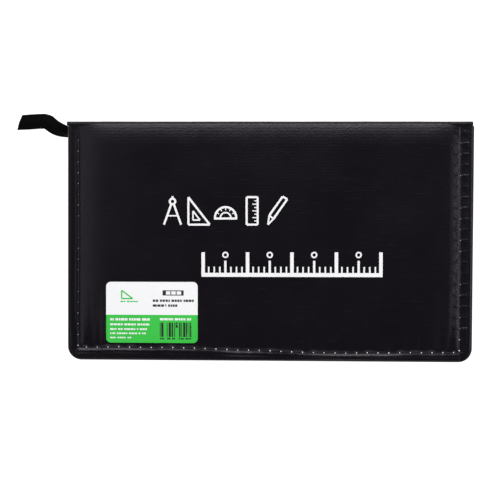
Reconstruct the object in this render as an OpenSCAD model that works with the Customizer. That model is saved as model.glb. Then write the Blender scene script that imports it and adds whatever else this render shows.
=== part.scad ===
// Zip-round drafting instrument case. Two padded covers of synthetic leather fold on
// a spine panel, a coil zipper closes the three open sides, elastic loops in the back
// cover hold the instruments and a clear pocket in the front cover holds the flat ones.
// Millimetres, shown closed and lying on the back cover. The origin is the middle of
// the back cover's underside, +Z is up, the spine is at +Y and the slider rests at +X.

/* [Case] */
// Width along the spine
case_w = 266; // [262:1:290]
// Depth from the spine's outer face to the mouth
case_d = 157; // [157:1:175]
// Clear height between the two linings
inner_h = 22; // [21.5:0.5:30]
// Radius of the two corners at the mouth
corner_r = 9; // [8:0.5:14]

/* [Cover layers] */
// Thickness of the synthetic leather
skin_t = 0.9; // [0.7:0.1:1.2]
// Thickness of the stiffening board
board_t = 1.6; // [1.4:0.1:2.4]
// Thickness of the lining cloth
lining_t = 0.5; // [0.3:0.1:0.8]
// Height of the foam crown above the margin
crown_h = 1.8; // [1:0.1:2.6]
// Width of the leather turned in behind the board
hem_w = 10; // [9:0.5:12]
// Distance of the seam, where the crown starts, from the cover's edge
seam_inset = 7; // [6:0.5:9]
// Width of the crown's roll along the seam
roll_w = 25; // [12:1:30]
// Width of the crown's roll along the spine
spine_roll_w = 18; // [8:1:24]

/* [Spine] */
// Radius of the leather bead on each fold
bead_r = 1.5; // [1.3:0.1:1.8]
// Thickness of the spine's own board
spine_board_t = 1.2; // [0.8:0.1:1.4]
// Gap between the end of a cover and the bead
fold_gap = 0.3; // [0.3:0.1:0.8]

/* [Zipper] */
// How far the covers reach out past the tape
overhang = 6; // [6:0.1:7]
// Thickness of the woven tape
tape_t = 0.7; // [0.5:0.1:0.8]
// Corner radius of the tape wall
tape_r = 8; // [7:0.5:12]
// Distance from the tape's end beside the slider to the cover's end
slider_end_gap = 0.5; // [0.4:0.1:3]
// Distance from the tape's end at the tail to the cover's end
tail_end_gap = 8; // [7:0.5:12]
// Gap between the edges of the two tapes
tape_gap = 2; // [2:0.1:2.4]
// Thickness of a coil row, out from the tape
coil_t = 1.6; // [1.2:0.1:1.7]
// Width of the part of a coil row that is sewn down
coil_band = 1.9; // [1.4:0.1:2.2]
// Gap between the sewn bands of the two rows
coil_gap = 1.8; // [1.6:0.1:2]
// Pitch of the teeth in one row
tooth_pitch = 2; // [1.9:0.1:2.6]
// Length of a tooth beyond its band
tooth_l = 1.5; // [1.4:0.05:1.55]
// Width of a tooth at its neck
tooth_neck = 0.5; // [0.4:0.05:0.6]
// Width of a tooth across its head, which locks behind the heads of the other row
tooth_head = 1.15; // [1.05:0.05:1.2]

/* [Slider] */
// Length of the slider
slider_l = 11.5; // [10:0.5:13]
// Width of the slider's plates at the leading end
slider_w = 8.6; // [8.2:0.1:9.2]
// Thickness of the slider's plates
plate_t = 0.8; // [0.6:0.1:0.9]
// Clearance between the slider and the tape and coils
slide_gap = 0.3; // [0.25:0.05:0.35]
// Radius of the puller's cross bar
bar_r = 0.65; // [0.5:0.05:0.7]
// Radial clearance of the cross bar in the slider's eye
bar_gap = 0.07; // [0.03:0.01:0.1]
// Length of the puller from the bar to its tip
puller_l = 26; // [18:1:30]
// Width of the puller's grip
puller_w = 6.4; // [5.5:0.1:7.5]
// Thickness of the puller
puller_t = 1; // [0.8:0.1:1.2]

/* [Elastic loops] */
// Width of the elastic
strap_w = 22; // [16:1:28]
// Thickness of the elastic
strap_t = 1; // [0.8:0.1:1.2]
// Distance of each elastic from the middle of the case
strap_x = 60; // [56:1:62]
// Clearance round each instrument
loop_gap = 0.3; // [0.3:0.05:0.6]

/* [Compass] */
// Distance of the compass's row from the spine's outer face
compass_in = 56.5; // [56:0.5:58]
// Thickness of each cheek of the head
cheek_t = 1.6; // [1.4:0.1:1.8]
// Thickness of each leg's knuckle
knuckle_t = 2.8; // [2.4:0.1:3]
// Radius of the head
head_r = 6.5; // [6:0.1:7]
// Radius of the pivot screw
pivot_r = 1.8; // [1.4:0.1:2.2]
// Length of each leg from the pivot to its clamp end
leg_l = 105; // [90:1:108]
// Width of a leg below the knuckle
leg_w = 5.6; // [5:0.1:6]
// Width of a leg at its clamp end
leg_end_w = 4.8; // [4.4:0.1:5]

/* [Pencil] */
// Distance of the pencil's row from the spine's outer face
pencil_in = 16.5; // [14.5:0.5:17]
// Radius of the pencil's barrel
pencil_r = 4; // [3.6:0.1:4.4]
// Length of the pencil's barrel and grip
pencil_l = 140; // [120:1:142]
// Travel of the push button
push = 3; // [2:0.5:4]
// Length of the clip
clip_l = 34; // [28:1:40]
// Distance of the clip's root from the end of the barrel
clip_in = 18; // [14:1:22]

/* [Small instruments] */
// Width across the ruling pen's handle
pen_w = 7; // [5:0.5:8]
// Length of the ruling pen's handle
pen_l = 26; // [20:1:34]
// Length of the ruling pen's blades
blade_l = 30; // [24:1:34]
// Gap between the ruling pen's blades
blade_gap = 0.6; // [0.3:0.1:1]
// Radius of the screwdriver's handle
handle_r = 3.6; // [3:0.1:4]
// Length of the screwdriver's handle
handle_l = 39; // [34:1:44]
// Length of the screwdriver's blade beyond the handle
driver_l = 27; // [20:1:32]
// Thickness of the eraser's sleeve
sleeve_t = 0.3; // [0.2:0.05:0.5]
// Distance from the lead tube's row to the extension bar's row
extension_step = 14; // [12:0.5:15]
// Length of the extension bar
extension_l = 148; // [120:1:150]
// Radius of the extension bar
extension_r = 2.6; // [2.2:0.1:3]
// Radius of the extension bar's socket
socket_r = 3.6; // [3.4:0.1:4]
// Distance from the eraser's row to the lead tube's row
tube_step = 17; // [16:0.5:19]
// Radius of the lead tube
tube_r = 4; // [3.8:0.1:4.2]
// Wall of the lead tube
tube_t = 0.6; // [0.4:0.1:0.6]
// Length of the lead tube and its cap
tube_l = 48; // [40:1:56]
// Distance of the eraser's row from the mouth
eraser_in = 28.5; // [27:0.5:30]
// Length of the eraser
eraser_l = 42; // [34:1:50]
// Width of the eraser
eraser_w = 15; // [12:0.5:16]
// Height of the eraser
eraser_h = 9; // [7:0.5:9]

/* [Lid pocket] */
// Distance of the pocket from each side of the case
pocket_side = 15; // [14:0.5:20]
// Distance of the pocket from the mouth
pocket_mouth = 15.5; // [14:0.5:18]
// Distance of the pocket's open end from the spine's outer face
pocket_open = 23.5; // [20:0.5:26]
// Thickness of the clear sheet
sheet_t = 0.4; // [0.3:0.1:0.6]
// Width of the pocket's binding
binding_w = 5; // [4:0.5:6]
// Thickness of each set square
square_t = 1.5; // [1.2:0.1:1.8]
// Short side of the 45 degree set square
square_45 = 130; // [110:1:136]
// Long leg of the 60 degree set square
square_60 = 168; // [140:1:176]
// Thickness of the protractor and the scale
scale_t = 1.2; // [1:0.1:1.4]
// Radius of the protractor
protractor_r = 50; // [44:1:52]
// Length of the scale
rule_l = 160; // [155:1:200]
// Width of the scale
rule_w = 28; // [24:1:30]

/* [Label] */
// Width of the label
label_w = 60; // [40:1:70]
// Height of the label
label_h = 40; // [30:1:45]
// Thickness of the label
label_t = 0.15; // [0.1:0.05:0.3]

/* [Hidden] */
$fn = 48;

// Levels of the back cover, counted up from the surface that it lies on
margin_t = 2 * skin_t + board_t;
board_z = crown_h + skin_t;
hem_z = board_z + board_t;
tape_z = hem_z + skin_t;
lining_top = hem_z + lining_t;
total_h = 2 * lining_top + inner_h;
mid_z = total_h / 2;

// Folds
fold_y = case_d / 2 - bead_r;
fold_z = crown_h + bead_r;
cover_end = fold_y - bead_r - fold_gap;
tape_end = cover_end - slider_end_gap;
tail_end = cover_end - tail_end_gap;

// Zipper
layer_gap = 0.1;
tape_out = case_w / 2 - overhang;
coil_out = tape_out + coil_t;
run_y = -case_d / 2 + overhang + tape_r;
run_x = tape_out - tape_r;
stop_l = 2.2;
slider_front = tape_end - stop_l - 2 * slide_gap;
slider_back = slider_front - slider_l;
diamond_l = 4;
chain_top = slider_front - diamond_l - slide_gap;
flange_z = coil_gap / 2 + coil_band + slide_gap;
flange_t = 0.8;
plate_in = coil_out + slide_gap;
plate_out = plate_in + plate_t;
eye_wall = 0.7;
eye_r = bar_r + bar_gap + eye_wall;
eye_x = plate_out + 0.2 + eye_r - eye_wall / 2;
eye_y = (slider_front + slider_back) / 2;
eye_w = 2.4;
arm_gap = 0.2;
arm_w = 1;

// Rows of instruments, measured from the middle of the case
pencil_y = case_d / 2 - pencil_in;
compass_y = case_d / 2 - compass_in;
eraser_y = case_d / 2 - eraser_in;
tube_y = eraser_y - tube_step;
extension_y = tube_y - extension_step;

// Instruments lie just clear of the lining
rest_gap = 0.1;
item_z = lining_top + rest_gap;
head_h = 2 * cheek_t + 2 * knuckle_t + 3 * layer_gap;
leg_z = item_z + cheek_t + layer_gap;
leg_h = 2 * knuckle_t + layer_gap;
knuckle_r = head_r - 0.9;
leg_gap = 0.2;
pin_gap = 0.05;
thumb_r = 3;
thumb_l = 3.4;
thumb_shaft_r = 1.1;
needle_r = 0.85;
lead_r = 1;
pencil_x = -pencil_l / 2 - 4;
grip_l = 36;
clip_w = 3;
grip_t = 0.2;
button_r = 2.9;
stem_r = 2;
driver_r = 1.1;
blade_screw = 8;
cap_l = 6;
plug_l = 5;
socket_l = 10;

// Flat instruments, stacked downwards from the front lining
front_lining_z = total_h - lining_top;
sheet_gap = 0.15;
pocket_w = case_w - 2 * pocket_side;
pocket_d = case_d - pocket_mouth - pocket_open;
pocket_low = pocket_mouth - case_d / 2;
square_45_z = front_lining_z - sheet_gap - square_t;
square_60_z = square_45_z - sheet_gap - square_t;
scale_z = square_60_z - sheet_gap - scale_t;
sheet_z = scale_z - sheet_gap - sheet_t;

// The tail's centre line out from the end of the chain, as [out past the tape, along past
// the tape's end, up from mid height, roll in degrees]
tail_path = [[0, 0.3, 0, 90], [0, 1.3, 0, 90], [1, 2.8, -0.2, 78], [4, 4.2, -0.7, 55],
    [8, 6, -1.5, 30], [12.5, 8.2, -2.6, 10], [17, 10, -3.6, 0], [23, 10.6, -4.8, 0],
    [30, 10.8, -6, 0], [36.5, 10.9, -7, 0]];
tail_w = 8.6;
tail_t = 1.4;
tail_ridge = 1.2;
tail_skew = 3;

leather = [0.10, 0.09, 0.11];
cloth = [0.16, 0.16, 0.18];
metal = [0.78, 0.79, 0.81];
clear_blue = [0.72, 0.82, 0.88, 0.5];

// ---------------------------------------------------------------- shared shapes

module both_sides() {
    children();
    mirror([1, 0, 0]) children();
}

// Turns a shape that belongs to the back cover over onto the front cover
module as_front() {
    translate([0, 0, total_h]) mirror([0, 0, 1]) children();
}

// Stands an outline drawn in Y and Z up and extrudes it along X
module along_x(length, start = 0) {
    translate([start, 0, 0]) rotate([90, 0, 90]) linear_extrude(length) children();
}

// Outline of a cover set in from its edge, with round corners at the mouth
module plan(inset, r, y_end = cover_end) {
    half = case_w / 2 - inset;
    mouth = -case_d / 2 + inset;
    translate([-half, mouth + r]) square([2 * half, y_end - mouth - r]);
    translate([r - half, mouth]) square([2 * (half - r), 2 * r]);
    for (side = [-1, 1]) translate([side * (half - r), mouth + r]) circle(r = r);
}

// Strip between two such outlines, open at the spine; its end at -X can be shorter
module plan_strip(inset, width, r, y_end, left_end = undef) {
    difference() {
        plan(inset, r, y_end);
        plan(inset + width, max(r - width, 1), y_end + 1);
        if (left_end != undef) translate([-case_w / 2, left_end]) square([case_w / 2, case_d]);
    }
}

// Round edge of a slab; it reaches a little way into the slab
module round_edge(r) {
    intersection() {
        circle(r = r);
        translate([-r / 2, -r]) square([1.5 * r, 2 * r]);
    }
}

// Slab with a full-round edge on the three open sides
module round_slab(inset, t, y_end = cover_end) {
    r = t / 2;
    edge = inset + r;
    bend_r = corner_r - edge;
    linear_extrude(t) plan(edge, bend_r, y_end);
    both_sides() {
        translate([case_w / 2 - edge, y_end, r]) rotate([90, 0, 0])
            linear_extrude(y_end + case_d / 2 - corner_r) round_edge(r);
        translate([case_w / 2 - corner_r, corner_r - case_d / 2, r]) rotate([0, 0, -90])
            rotate_extrude(angle = 90) translate([bend_r, 0]) round_edge(r);
    }
    translate([0, edge - case_d / 2, r]) rotate([90, 0, -90])
        linear_extrude(case_w - 2 * corner_r, center = true) round_edge(r);
}

// Height of the padding across a cover: it rises from one seam and falls to the other
function crown_rise(from, width) = [for (i = [0:6])
    [from + width * i / 6, crown_h * (1 - pow(1 - i / 6, 2))]];
function crown_fall(to, width) = [for (i = [6:-1:0])
    [to - width * i / 6, crown_h * (1 - pow(1 - i / 6, 2))]];

module crown() {
    side = case_w / 2 - seam_inset;
    mouth = case_d / 2 - seam_inset;
    intersection() {
        rotate([90, 0, 0]) linear_extrude(case_d, center = true)
            polygon(concat(crown_rise(-side, roll_w), crown_fall(side, roll_w)));
        along_x(case_w, -case_w / 2)
            polygon(concat(crown_rise(-mouth, roll_w), crown_fall(cover_end, spine_roll_w)));
    }
}

// A crown that hangs below the given level, as on the back cover
module crown_below(z) {
    translate([0, 0, z]) mirror([0, 0, 1]) crown();
}

// Round bar along X
module rod(x0, x1, r, r2 = undef) {
    translate([x0, 0, 0]) rotate([0, 90, 0])
        cylinder(h = x1 - x0, r1 = r, r2 = r2 == undef ? r : r2);
}

// Knurled thumbscrew along +Y: a shank, a head and a groove round the head
module thumbscrew(shank) {
    rotate([-90, 0, 0]) rotate_extrude() polygon([[0, -shank], [thumb_shaft_r, -shank],
        [thumb_shaft_r, 0.3], [thumb_r - 0.4, 0.3], [thumb_r, 0.7], [thumb_r, 1.5],
        [thumb_r - 0.35, 1.7], [thumb_r - 0.35, 2.1], [thumb_r, 2.3],
        [thumb_r, thumb_l - 0.4], [thumb_r - 0.4, thumb_l], [0, thumb_l]]);
}

// ---------------------------------------------------------------- covers

module cover_skin() {
    difference() {
        union() {
            translate([0, 0, crown_h]) round_slab(0, margin_t);
            crown_below(crown_h);
        }
        translate([0, 0, board_z]) round_slab(skin_t, board_t, cover_end + 1);
        crown_below(board_z);
        translate([0, 0, hem_z - 0.2]) linear_extrude(skin_t + 1)
            plan(hem_w, 2, cover_end + 1);
    }
}

module cover_board() {
    translate([0, 0, board_z]) round_slab(skin_t + layer_gap, board_t);
}

// The lining covers the board, steps up over the hem and ends beside the tape
module cover_lining() {
    step = hem_w + layer_gap;
    step_r = tape_r - step + overhang;
    rim_z = tape_z + tape_t;
    translate([0, 0, hem_z]) linear_extrude(lining_t) plan(step, step_r);
    translate([0, 0, hem_z]) linear_extrude(rim_z + lining_t - hem_z)
        plan_strip(step, lining_t, step_r, cover_end);
    translate([0, 0, rim_z]) linear_extrude(lining_t)
        plan_strip(overhang + tape_t + layer_gap, step - overhang - tape_t, tape_r - tape_t,
            tape_end, tail_end);
}

// The tape has a flange sewn in under the lining and a wall that carries the coil
module cover_tape() {
    translate([0, 0, tape_z]) linear_extrude(tape_t)
        plan_strip(overhang, hem_w - overhang, tape_r, tape_end, tail_end);
    translate([0, 0, tape_z]) linear_extrude(mid_z - tape_gap / 2 - tape_z)
        plan_strip(overhang, tape_t, tape_r, tape_end, tail_end);
}

// Right half of a tooth: the neck, its shoulder, the head's widest point and its crown
tooth_half = [[tooth_neck / 2, 0], [tooth_neck / 2, tooth_l - 0.55],
    [tooth_head / 2, tooth_l - 0.38], [tooth_head / 2 - 0.2, tooth_l]];

function tooth(at) = concat([for (p = tooth_half) [at - p[0], p[1]]],
    [for (i = [len(tooth_half) - 1:-1:0]) [at + tooth_half[i][0], tooth_half[i][1]]]);

// One run of teeth in the plane of the tape; phase shifts it against the other row
module tooth_run(length, phase) {
    count = floor(length / tooth_pitch);
    step = length / count;
    rotate([90, 0, 0]) linear_extrude(coil_t) polygon(concat([[0, 0], [0, -0.5]],
        [[length, -0.5], [length, 0]],
        [for (i = [count - 1:-1:0]) let (t = tooth((i + phase) * step))
            for (k = [len(t) - 1:-1:0]) t[k]]));
}

// A coil row: a band sewn along the tape's edge and its teeth, which pass between those
// of the other row. It has no teeth where the slider's diamond keeps the rows apart.
module coil_row(phase) {
    base_z = mid_z - coil_gap / 2;
    bend = floor((tape_r + coil_t / 2) * PI / 2 / tooth_pitch);
    translate([0, 0, base_z - coil_band]) linear_extrude(coil_band)
        plan_strip(overhang - coil_t, coil_t, tape_r + coil_t, tape_end, tail_end);
    translate([tape_out, run_y, base_z]) rotate([0, 0, 90]) tooth_run(chain_top - run_y, phase);
    translate([-coil_out, run_y, base_z]) rotate([0, 0, 90]) tooth_run(tail_end - run_y, phase);
    translate([-run_x, -case_d / 2 + overhang, base_z]) tooth_run(2 * run_x, phase);
    for (side = [-1, 1], i = [0:bend - 1])
        translate([side * run_x, run_y, base_z]) rotate([0, 0, side * (i + phase) * 90 / bend])
            translate([0, -tape_r, 0]) rotate([90, 0, 0]) linear_extrude(coil_t)
                polygon(concat(tooth(0), [[tooth_neck / 2, -0.5], [-tooth_neck / 2, -0.5]]));
}

// Crimped stop over the coil and the tape's edge, at the end where the slider rests
module coil_stop() {
    leg = 0.4;
    top = mid_z - coil_gap / 2;
    translate([0, tape_end - stop_l - layer_gap, 0]) difference() {
        translate([tape_out - tape_t - leg, 0, top - 1.7])
            cube([tape_t + coil_t + 2 * leg, stop_l, 1.7 + 0.5]);
        translate([tape_out - tape_t, -1, top - 3]) cube([tape_t + coil_t, stop_l + 2, 3]);
    }
}

module back_skin() {
    color(leather) cover_skin();
}

module back_foam() {
    color("khaki") crown_below(board_z);
}

module back_board() {
    color("tan") cover_board();
}

module back_lining() {
    color(cloth) cover_lining();
}

module back_tape() {
    color([0.08, 0.08, 0.09]) cover_tape();
}

module back_coil() {
    color([0.12, 0.12, 0.13]) coil_row(0.25);
}

module back_stop() {
    color(metal) coil_stop();
}

module front_skin() {
    color(leather) as_front() cover_skin();
}

module front_foam() {
    color("khaki") as_front() crown_below(board_z);
}

module front_board() {
    color("tan") as_front() cover_board();
}

module front_lining() {
    color(cloth) as_front() cover_lining();
}

module front_tape() {
    color([0.08, 0.08, 0.09]) as_front() cover_tape();
}

module front_coil() {
    color([0.12, 0.12, 0.13]) as_front() coil_row(0.75);
}

module front_stop() {
    color(metal) as_front() coil_stop();
}

// The label follows the roll of the cover that it is stuck on
module label_sticker() {
    label_left = 25.5;
    label_low = 11.5;
    round = 3;
    color("white") intersection() {
        translate([label_left + round - case_w / 2, label_low + round - case_d / 2, 0])
            linear_extrude(total_h + 1) {
                translate([-round, 0]) square([label_w, label_h - 2 * round]);
                translate([0, -round]) square([label_w - 2 * round, label_h]);
                for (x = [0, label_w - 2 * round], y = [0, label_h - 2 * round])
                    translate([x, y]) circle(r = round);
            }
        difference() {
            translate([0, 0, total_h - crown_h + label_t]) crown();
            translate([0, 0, total_h - crown_h]) crown();
        }
    }
}

// ---------------------------------------------------------------- spine

// Outer leather with a round bead on each fold
module spine_skin() {
    color(leather) along_x(case_w, -case_w / 2) {
        for (z = [fold_z, total_h - fold_z]) translate([fold_y, z]) circle(r = bead_r);
        translate([case_d / 2 - skin_t, fold_z]) square([skin_t, total_h - 2 * fold_z]);
    }
}

module spine_board() {
    low = fold_z + bead_r + layer_gap;
    color("tan") along_x(case_w - 4, 2 - case_w / 2)
        translate([case_d / 2 - skin_t - spine_board_t, low])
            square([spine_board_t, total_h - 2 * low]);
}

module spine_lining() {
    low = fold_z + bead_r + layer_gap;
    color(cloth) along_x(case_w - 4, 2 - case_w / 2)
        translate([case_d / 2 - skin_t - spine_board_t - lining_t, low])
            square([lining_t, total_h - 2 * low]);
}

// ---------------------------------------------------------------- slider

// Plate of the slider seen from outside: wide at the leading end, narrower behind
module slider_outline() {
    r = 1.4;
    narrow = slider_w - 1.2;
    translate([slider_back, -narrow / 2 + r]) square([slider_l - r, narrow - 2 * r]);
    translate([slider_back + r, -narrow / 2]) square([slider_l - 2 * r, narrow]);
    translate([slider_front - slider_l / 2, -slider_w / 2])
        square([slider_l / 2 - r, slider_w]);
    translate([slider_front - slider_l / 2, -slider_w / 2 + r])
        square([slider_l / 2, slider_w - 2 * r]);
    for (side = [-1, 1]) {
        translate([slider_back + r, side * (narrow / 2 - r)]) circle(r = r);
        translate([slider_front - r, side * (slider_w / 2 - r)]) circle(r = r);
    }
}

// Two plates, joined by the diamond that parts the rows, with flanges that hold the
// rows in and an eye for the puller
module slider_body() {
    plate_low = tape_out - tape_t - slide_gap - plate_t;
    diamond_w = coil_gap / 2 - slide_gap;
    color(metal) translate([0, 0, mid_z]) {
        along_x(plate_t, plate_in) slider_outline();
        along_x(plate_t, plate_low) slider_outline();
        along_x(plate_in - plate_low, plate_low) polygon([[slider_front, 0],
            [slider_front - 1, diamond_w], [slider_front - diamond_l + 1, diamond_w],
            [slider_front - diamond_l, 0], [slider_front - diamond_l + 1, -diamond_w],
            [slider_front - 1, -diamond_w]]);
        for (side = [-1, 1]) along_x(coil_t + plate_t, tape_out + slide_gap)
            translate([slider_back + 1.4, side > 0 ? flange_z : -flange_z - flange_t])
                square([slider_l - 2.8, flange_t]);
        translate([0, 0, -eye_w / 2]) linear_extrude(eye_w) difference() {
            union() {
                translate([eye_x, eye_y]) circle(r = eye_r);
                translate([plate_out - 0.3, eye_y - eye_r]) square([eye_x - plate_out + 0.3, 2 * eye_r]);
            }
            translate([eye_x, eye_y]) circle(r = bar_r + bar_gap);
        }
    }
}

// The puller: a cross bar through the slider's eye, two arms and a grip with a slot
module slider_puller() {
    arm_z = eye_w / 2 + arm_gap;
    fork = arm_z + arm_w;
    neck = 3;
    slot_l = 9;
    color(metal) translate([eye_x, eye_y, mid_z]) {
        translate([0, 0, -fork]) cylinder(h = 2 * fork, r = bar_r);
        along_x(puller_t, -puller_t / 2) difference() {
            union() {
                for (side = [-1, 1]) translate([-neck, side > 0 ? arm_z : -fork])
                    square([neck, arm_w]);
                translate([-neck - 1.2, -fork]) square([1.2 + 0.01, 2 * fork]);
                translate([puller_w / 2 - puller_l, -puller_w / 2])
                    square([puller_l - puller_w / 2 - neck - 1.2, puller_w]);
                translate([puller_w / 2 - puller_l, 0]) circle(r = puller_w / 2);
            }
            translate([puller_w / 2 - puller_l, 0]) circle(r = puller_w / 4);
            translate([puller_w / 2 - puller_l, -puller_w / 4]) square([slot_l, puller_w / 2]);
            translate([puller_w / 2 - puller_l + slot_l, 0]) circle(r = puller_w / 4);
        }
    }
}

// ---------------------------------------------------------------- zipper tail

// Cross section of the tape: a shallow roof with the coil's ridge on top
tail_section = [[-tail_w / 2, 0], [-tail_w / 2, tail_t], [-0.6, tail_t + tail_ridge],
    [0.6, tail_t + tail_ridge], [tail_w / 2, tail_t], [tail_w / 2, 0], [0, tail_ridge]];

function tail_point(i) = [-(tape_out + slide_gap + tail_t) - tail_path[i][0],
    tail_end + tail_path[i][1], mid_z + tail_path[i][2]];

function heading(i) = let (
        d = tail_point(min(i + 1, len(tail_path) - 1)) - tail_point(max(i - 1, 0))
    ) d / norm(d);

// A ring of the section square to the path and rolled about it; the last is cut aslant
function tail_ring(i) = let (
        d = heading(i),
        level = [-d[1], d[0], 0] / norm([d[0], d[1]]),
        over = cross(d, level),
        roll = tail_path[i][3],
        across = level * cos(roll) - over * sin(roll),
        up = over * cos(roll) + level * sin(roll),
        skew = i == len(tail_path) - 1 ? tail_skew / tail_w : 0
    ) [for (p = tail_section)
        tail_point(i) + across * p[0] + up * (p[1] - tail_t) - d * p[0] * skew];

module zipper_tail() {
    n = len(tail_section);
    last = len(tail_path) - 1;
    color([0.07, 0.07, 0.08]) polyhedron(
        points = [for (i = [0:last]) each tail_ring(i)],
        faces = concat(
            [for (k = [1:n - 2]) [n - 1, k - 1, k]],
            [for (i = [0:last - 1], k = [0:n - 1])
                each [[i * n + k, (i + 1) * n + k, (i + 1) * n + (k + 1) % n],
                    [i * n + k, (i + 1) * n + (k + 1) % n, i * n + (k + 1) % n]]],
            [for (k = [1:n - 2]) [last * n + n - 1, last * n + k, last * n + k - 1]]),
        convexity = 4);
}

// ---------------------------------------------------------------- elastic loops

// Outline with a flat foot and a round top, round corners of radius r
module arch(half, h, r) {
    translate([-half, 0]) square([2 * half, h - r]);
    if (half > r) translate([r - half, 0]) square([2 * (half - r), h]);
    intersection() {
        for (side = [-1, 1]) translate([side * (half - r), h - r]) circle(r = r);
        translate([-half, 0]) square([2 * half, h]);
    }
}

// One elastic: each loop is [y, half width, height, corner radius] of what it holds
module elastic(y0, y1, loops) {
    translate([0, 0, lining_top]) along_x(strap_w, -strap_w / 2) difference() {
        union() {
            translate([y0, 0]) square([y1 - y0, strap_t]);
            for (l = loops) translate([l[0], 0])
                arch(l[1] + loop_gap + strap_t, rest_gap + l[2] + loop_gap + strap_t,
                    l[3] + loop_gap + strap_t);
        }
        for (l = loops) translate([l[0], -1])
            arch(l[1] + loop_gap, 1 + rest_gap + l[2] + loop_gap, l[3] + loop_gap);
    }
}

function round_loop(y, r) = [y, r, 2 * r, r];

module strap_right() {
    color([0.1, 0.1, 0.11]) translate([strap_x, 0, 0])
        elastic(-eraser_y - 12, pencil_y + 9, [round_loop(pencil_y, pencil_r),
            [compass_y, head_r + 3.2, head_h, 2], round_loop(-extension_y, socket_r),
            round_loop(-tube_y, tube_r), round_loop(-eraser_y, pen_w / 2)]);
}

module strap_left() {
    color([0.1, 0.1, 0.11]) translate([-strap_x, 0, 0]) {
        elastic(pencil_y - 9, pencil_y + 9, [round_loop(pencil_y, pencil_r + grip_t)]);
        elastic(-eraser_y - 12, -extension_y + 7, [round_loop(-extension_y, socket_r),
            round_loop(-tube_y, handle_r),
            [-eraser_y, eraser_w / 2 + sleeve_t, eraser_h + 2 * sleeve_t, 0.5]]);
    }
}

// ---------------------------------------------------------------- compass

module at_compass() {
    translate([strap_x + 2, compass_y, 0]) children();
}

// Head: two cheeks with a slot between them for the knuckles, and a neck
module compass_head() {
    slot_z = item_z + cheek_t;
    slot_h = head_h - 2 * cheek_t;
    slot_r = head_r - 0.4;
    color(metal) at_compass() difference() {
        union() {
            translate([0, 0, item_z]) cylinder(h = head_h, r = head_r);
            translate([0, 0, item_z]) linear_extrude(head_h) polygon([[0, -head_r],
                [head_r, -4.4], [head_r + 4, -3.4], [head_r + 4, 3.4], [head_r, 4.4], [0, head_r]]);
        }
        translate([0, 0, slot_z]) cylinder(h = slot_h, r = slot_r);
        translate([-2 * head_r, -head_r - 1, slot_z]) cube([2 * head_r, 2 * head_r + 2, slot_h]);
        translate([0, 0, item_z - 1]) cylinder(h = head_h + 2, r = pivot_r + 0.02);
    }
}

// Turned handle with grip rings
module compass_handle() {
    start = head_r + 4;
    color(metal) at_compass() translate([start, 0, item_z + head_h / 2]) rotate([0, 90, 0])
        rotate_extrude() polygon(concat([[0, 0], [3.2, 0], [3.2, 1.2], [1.9, 2.2], [1.9, 4],
            [3, 5]], [for (i = [0:4]) each [[3.4, 5.6 + i * 2.6], [3.4, 7.4 + i * 2.6],
            [3, 7.7 + i * 2.6], [3, 7.9 + i * 2.6]]], [[3.4, 18.8], [2.6, 20.4], [0, 20.8]]));
}

module compass_pivot() {
    color("dimgray") at_compass() {
        translate([0, 0, item_z + 0.3]) cylinder(h = head_h - 0.6, r = pivot_r);
    }
}

// A leg along -X on the -Y side of the pivot, with its knuckle at the given level
module compass_leg(knuckle_z) {
    start = knuckle_r + 0.3;
    bore = pivot_r + pin_gap;
    difference() {
        union() {
            translate([0, 0, knuckle_z]) cylinder(h = knuckle_t, r = knuckle_r);
            translate([-start - 3, -leg_w - leg_gap / 2, knuckle_z])
                cube([start + 3, leg_w, knuckle_t]);
            difference() {
                translate([0, 0, leg_z]) linear_extrude(leg_h) polygon([[0, -leg_gap / 2],
                    [-leg_l, -leg_gap / 2], [-leg_l, -leg_gap / 2 - leg_end_w],
                    [-0.75 * leg_l, -leg_gap / 2 - leg_end_w],
                    [-0.6 * leg_l, -leg_gap / 2 - leg_w], [0, -leg_gap / 2 - leg_w]]);
                translate([0, 0, leg_z - 1]) cylinder(h = leg_h + 2, r = start);
            }
        }
        translate([0, 0, knuckle_z - 1]) cylinder(h = knuckle_t + 2, r = bore);
        translate([0, -leg_gap / 2 - leg_end_w / 2, leg_z + leg_h / 2]) rod(-leg_l - 1, 14 - leg_l,
            needle_r + 0.02);
        translate([6 - leg_l, -leg_gap / 2 - leg_end_w / 2, leg_z + leg_h / 2])
            rotate([90, 0, 0]) cylinder(h = leg_w, r = thumb_shaft_r + 0.02);
    }
}

module leg_tip() {
    translate([-leg_l, -leg_gap / 2 - leg_end_w / 2, leg_z + leg_h / 2]) children();
}

// The lead leg is the needle leg turned over about the compass's own centre line
module as_lead_leg() {
    mirror([0, 1, 0]) children();
}

module needle_leg() {
    color(metal) at_compass() compass_leg(leg_z);
}

module lead_leg() {
    color(metal) at_compass() as_lead_leg() compass_leg(leg_z + knuckle_t + layer_gap);
}

module clamp_screw() {
    leg_tip() translate([6, -leg_end_w / 2, 0]) mirror([0, 1, 0])
        thumbscrew(leg_end_w / 2 - needle_r - 0.05);
}

module needle_screw() {
    color(metal) at_compass() clamp_screw();
}

module lead_screw() {
    color(metal) at_compass() as_lead_leg() clamp_screw();
}

module needle() {
    color("silver") at_compass() leg_tip() {
        rod(-14, 13, needle_r);
        rod(-15.6, -14, needle_r * 1.9);
        rod(-19, -15.6, 0.05, 0.6);
    }
}

module lead_holder() {
    color(metal) at_compass() as_lead_leg() leg_tip() difference() {
        union() {
            rod(-0.1, 13, needle_r);
            rod(-9, -0.1, 2.2);
            rod(-12, -9, 1.5, 2.2);
        }
        rod(-13, -3, lead_r + 0.02);
    }
}

module compass_lead() {
    color([0.2, 0.2, 0.22]) at_compass() as_lead_leg() leg_tip() {
        rod(-17, -4, lead_r);
        rod(-19, -17, 0.1, lead_r);
    }
}

// ---------------------------------------------------------------- pencil

module at_pencil() {
    translate([0, pencil_y, item_z + pencil_r + grip_t]) children();
}

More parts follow.
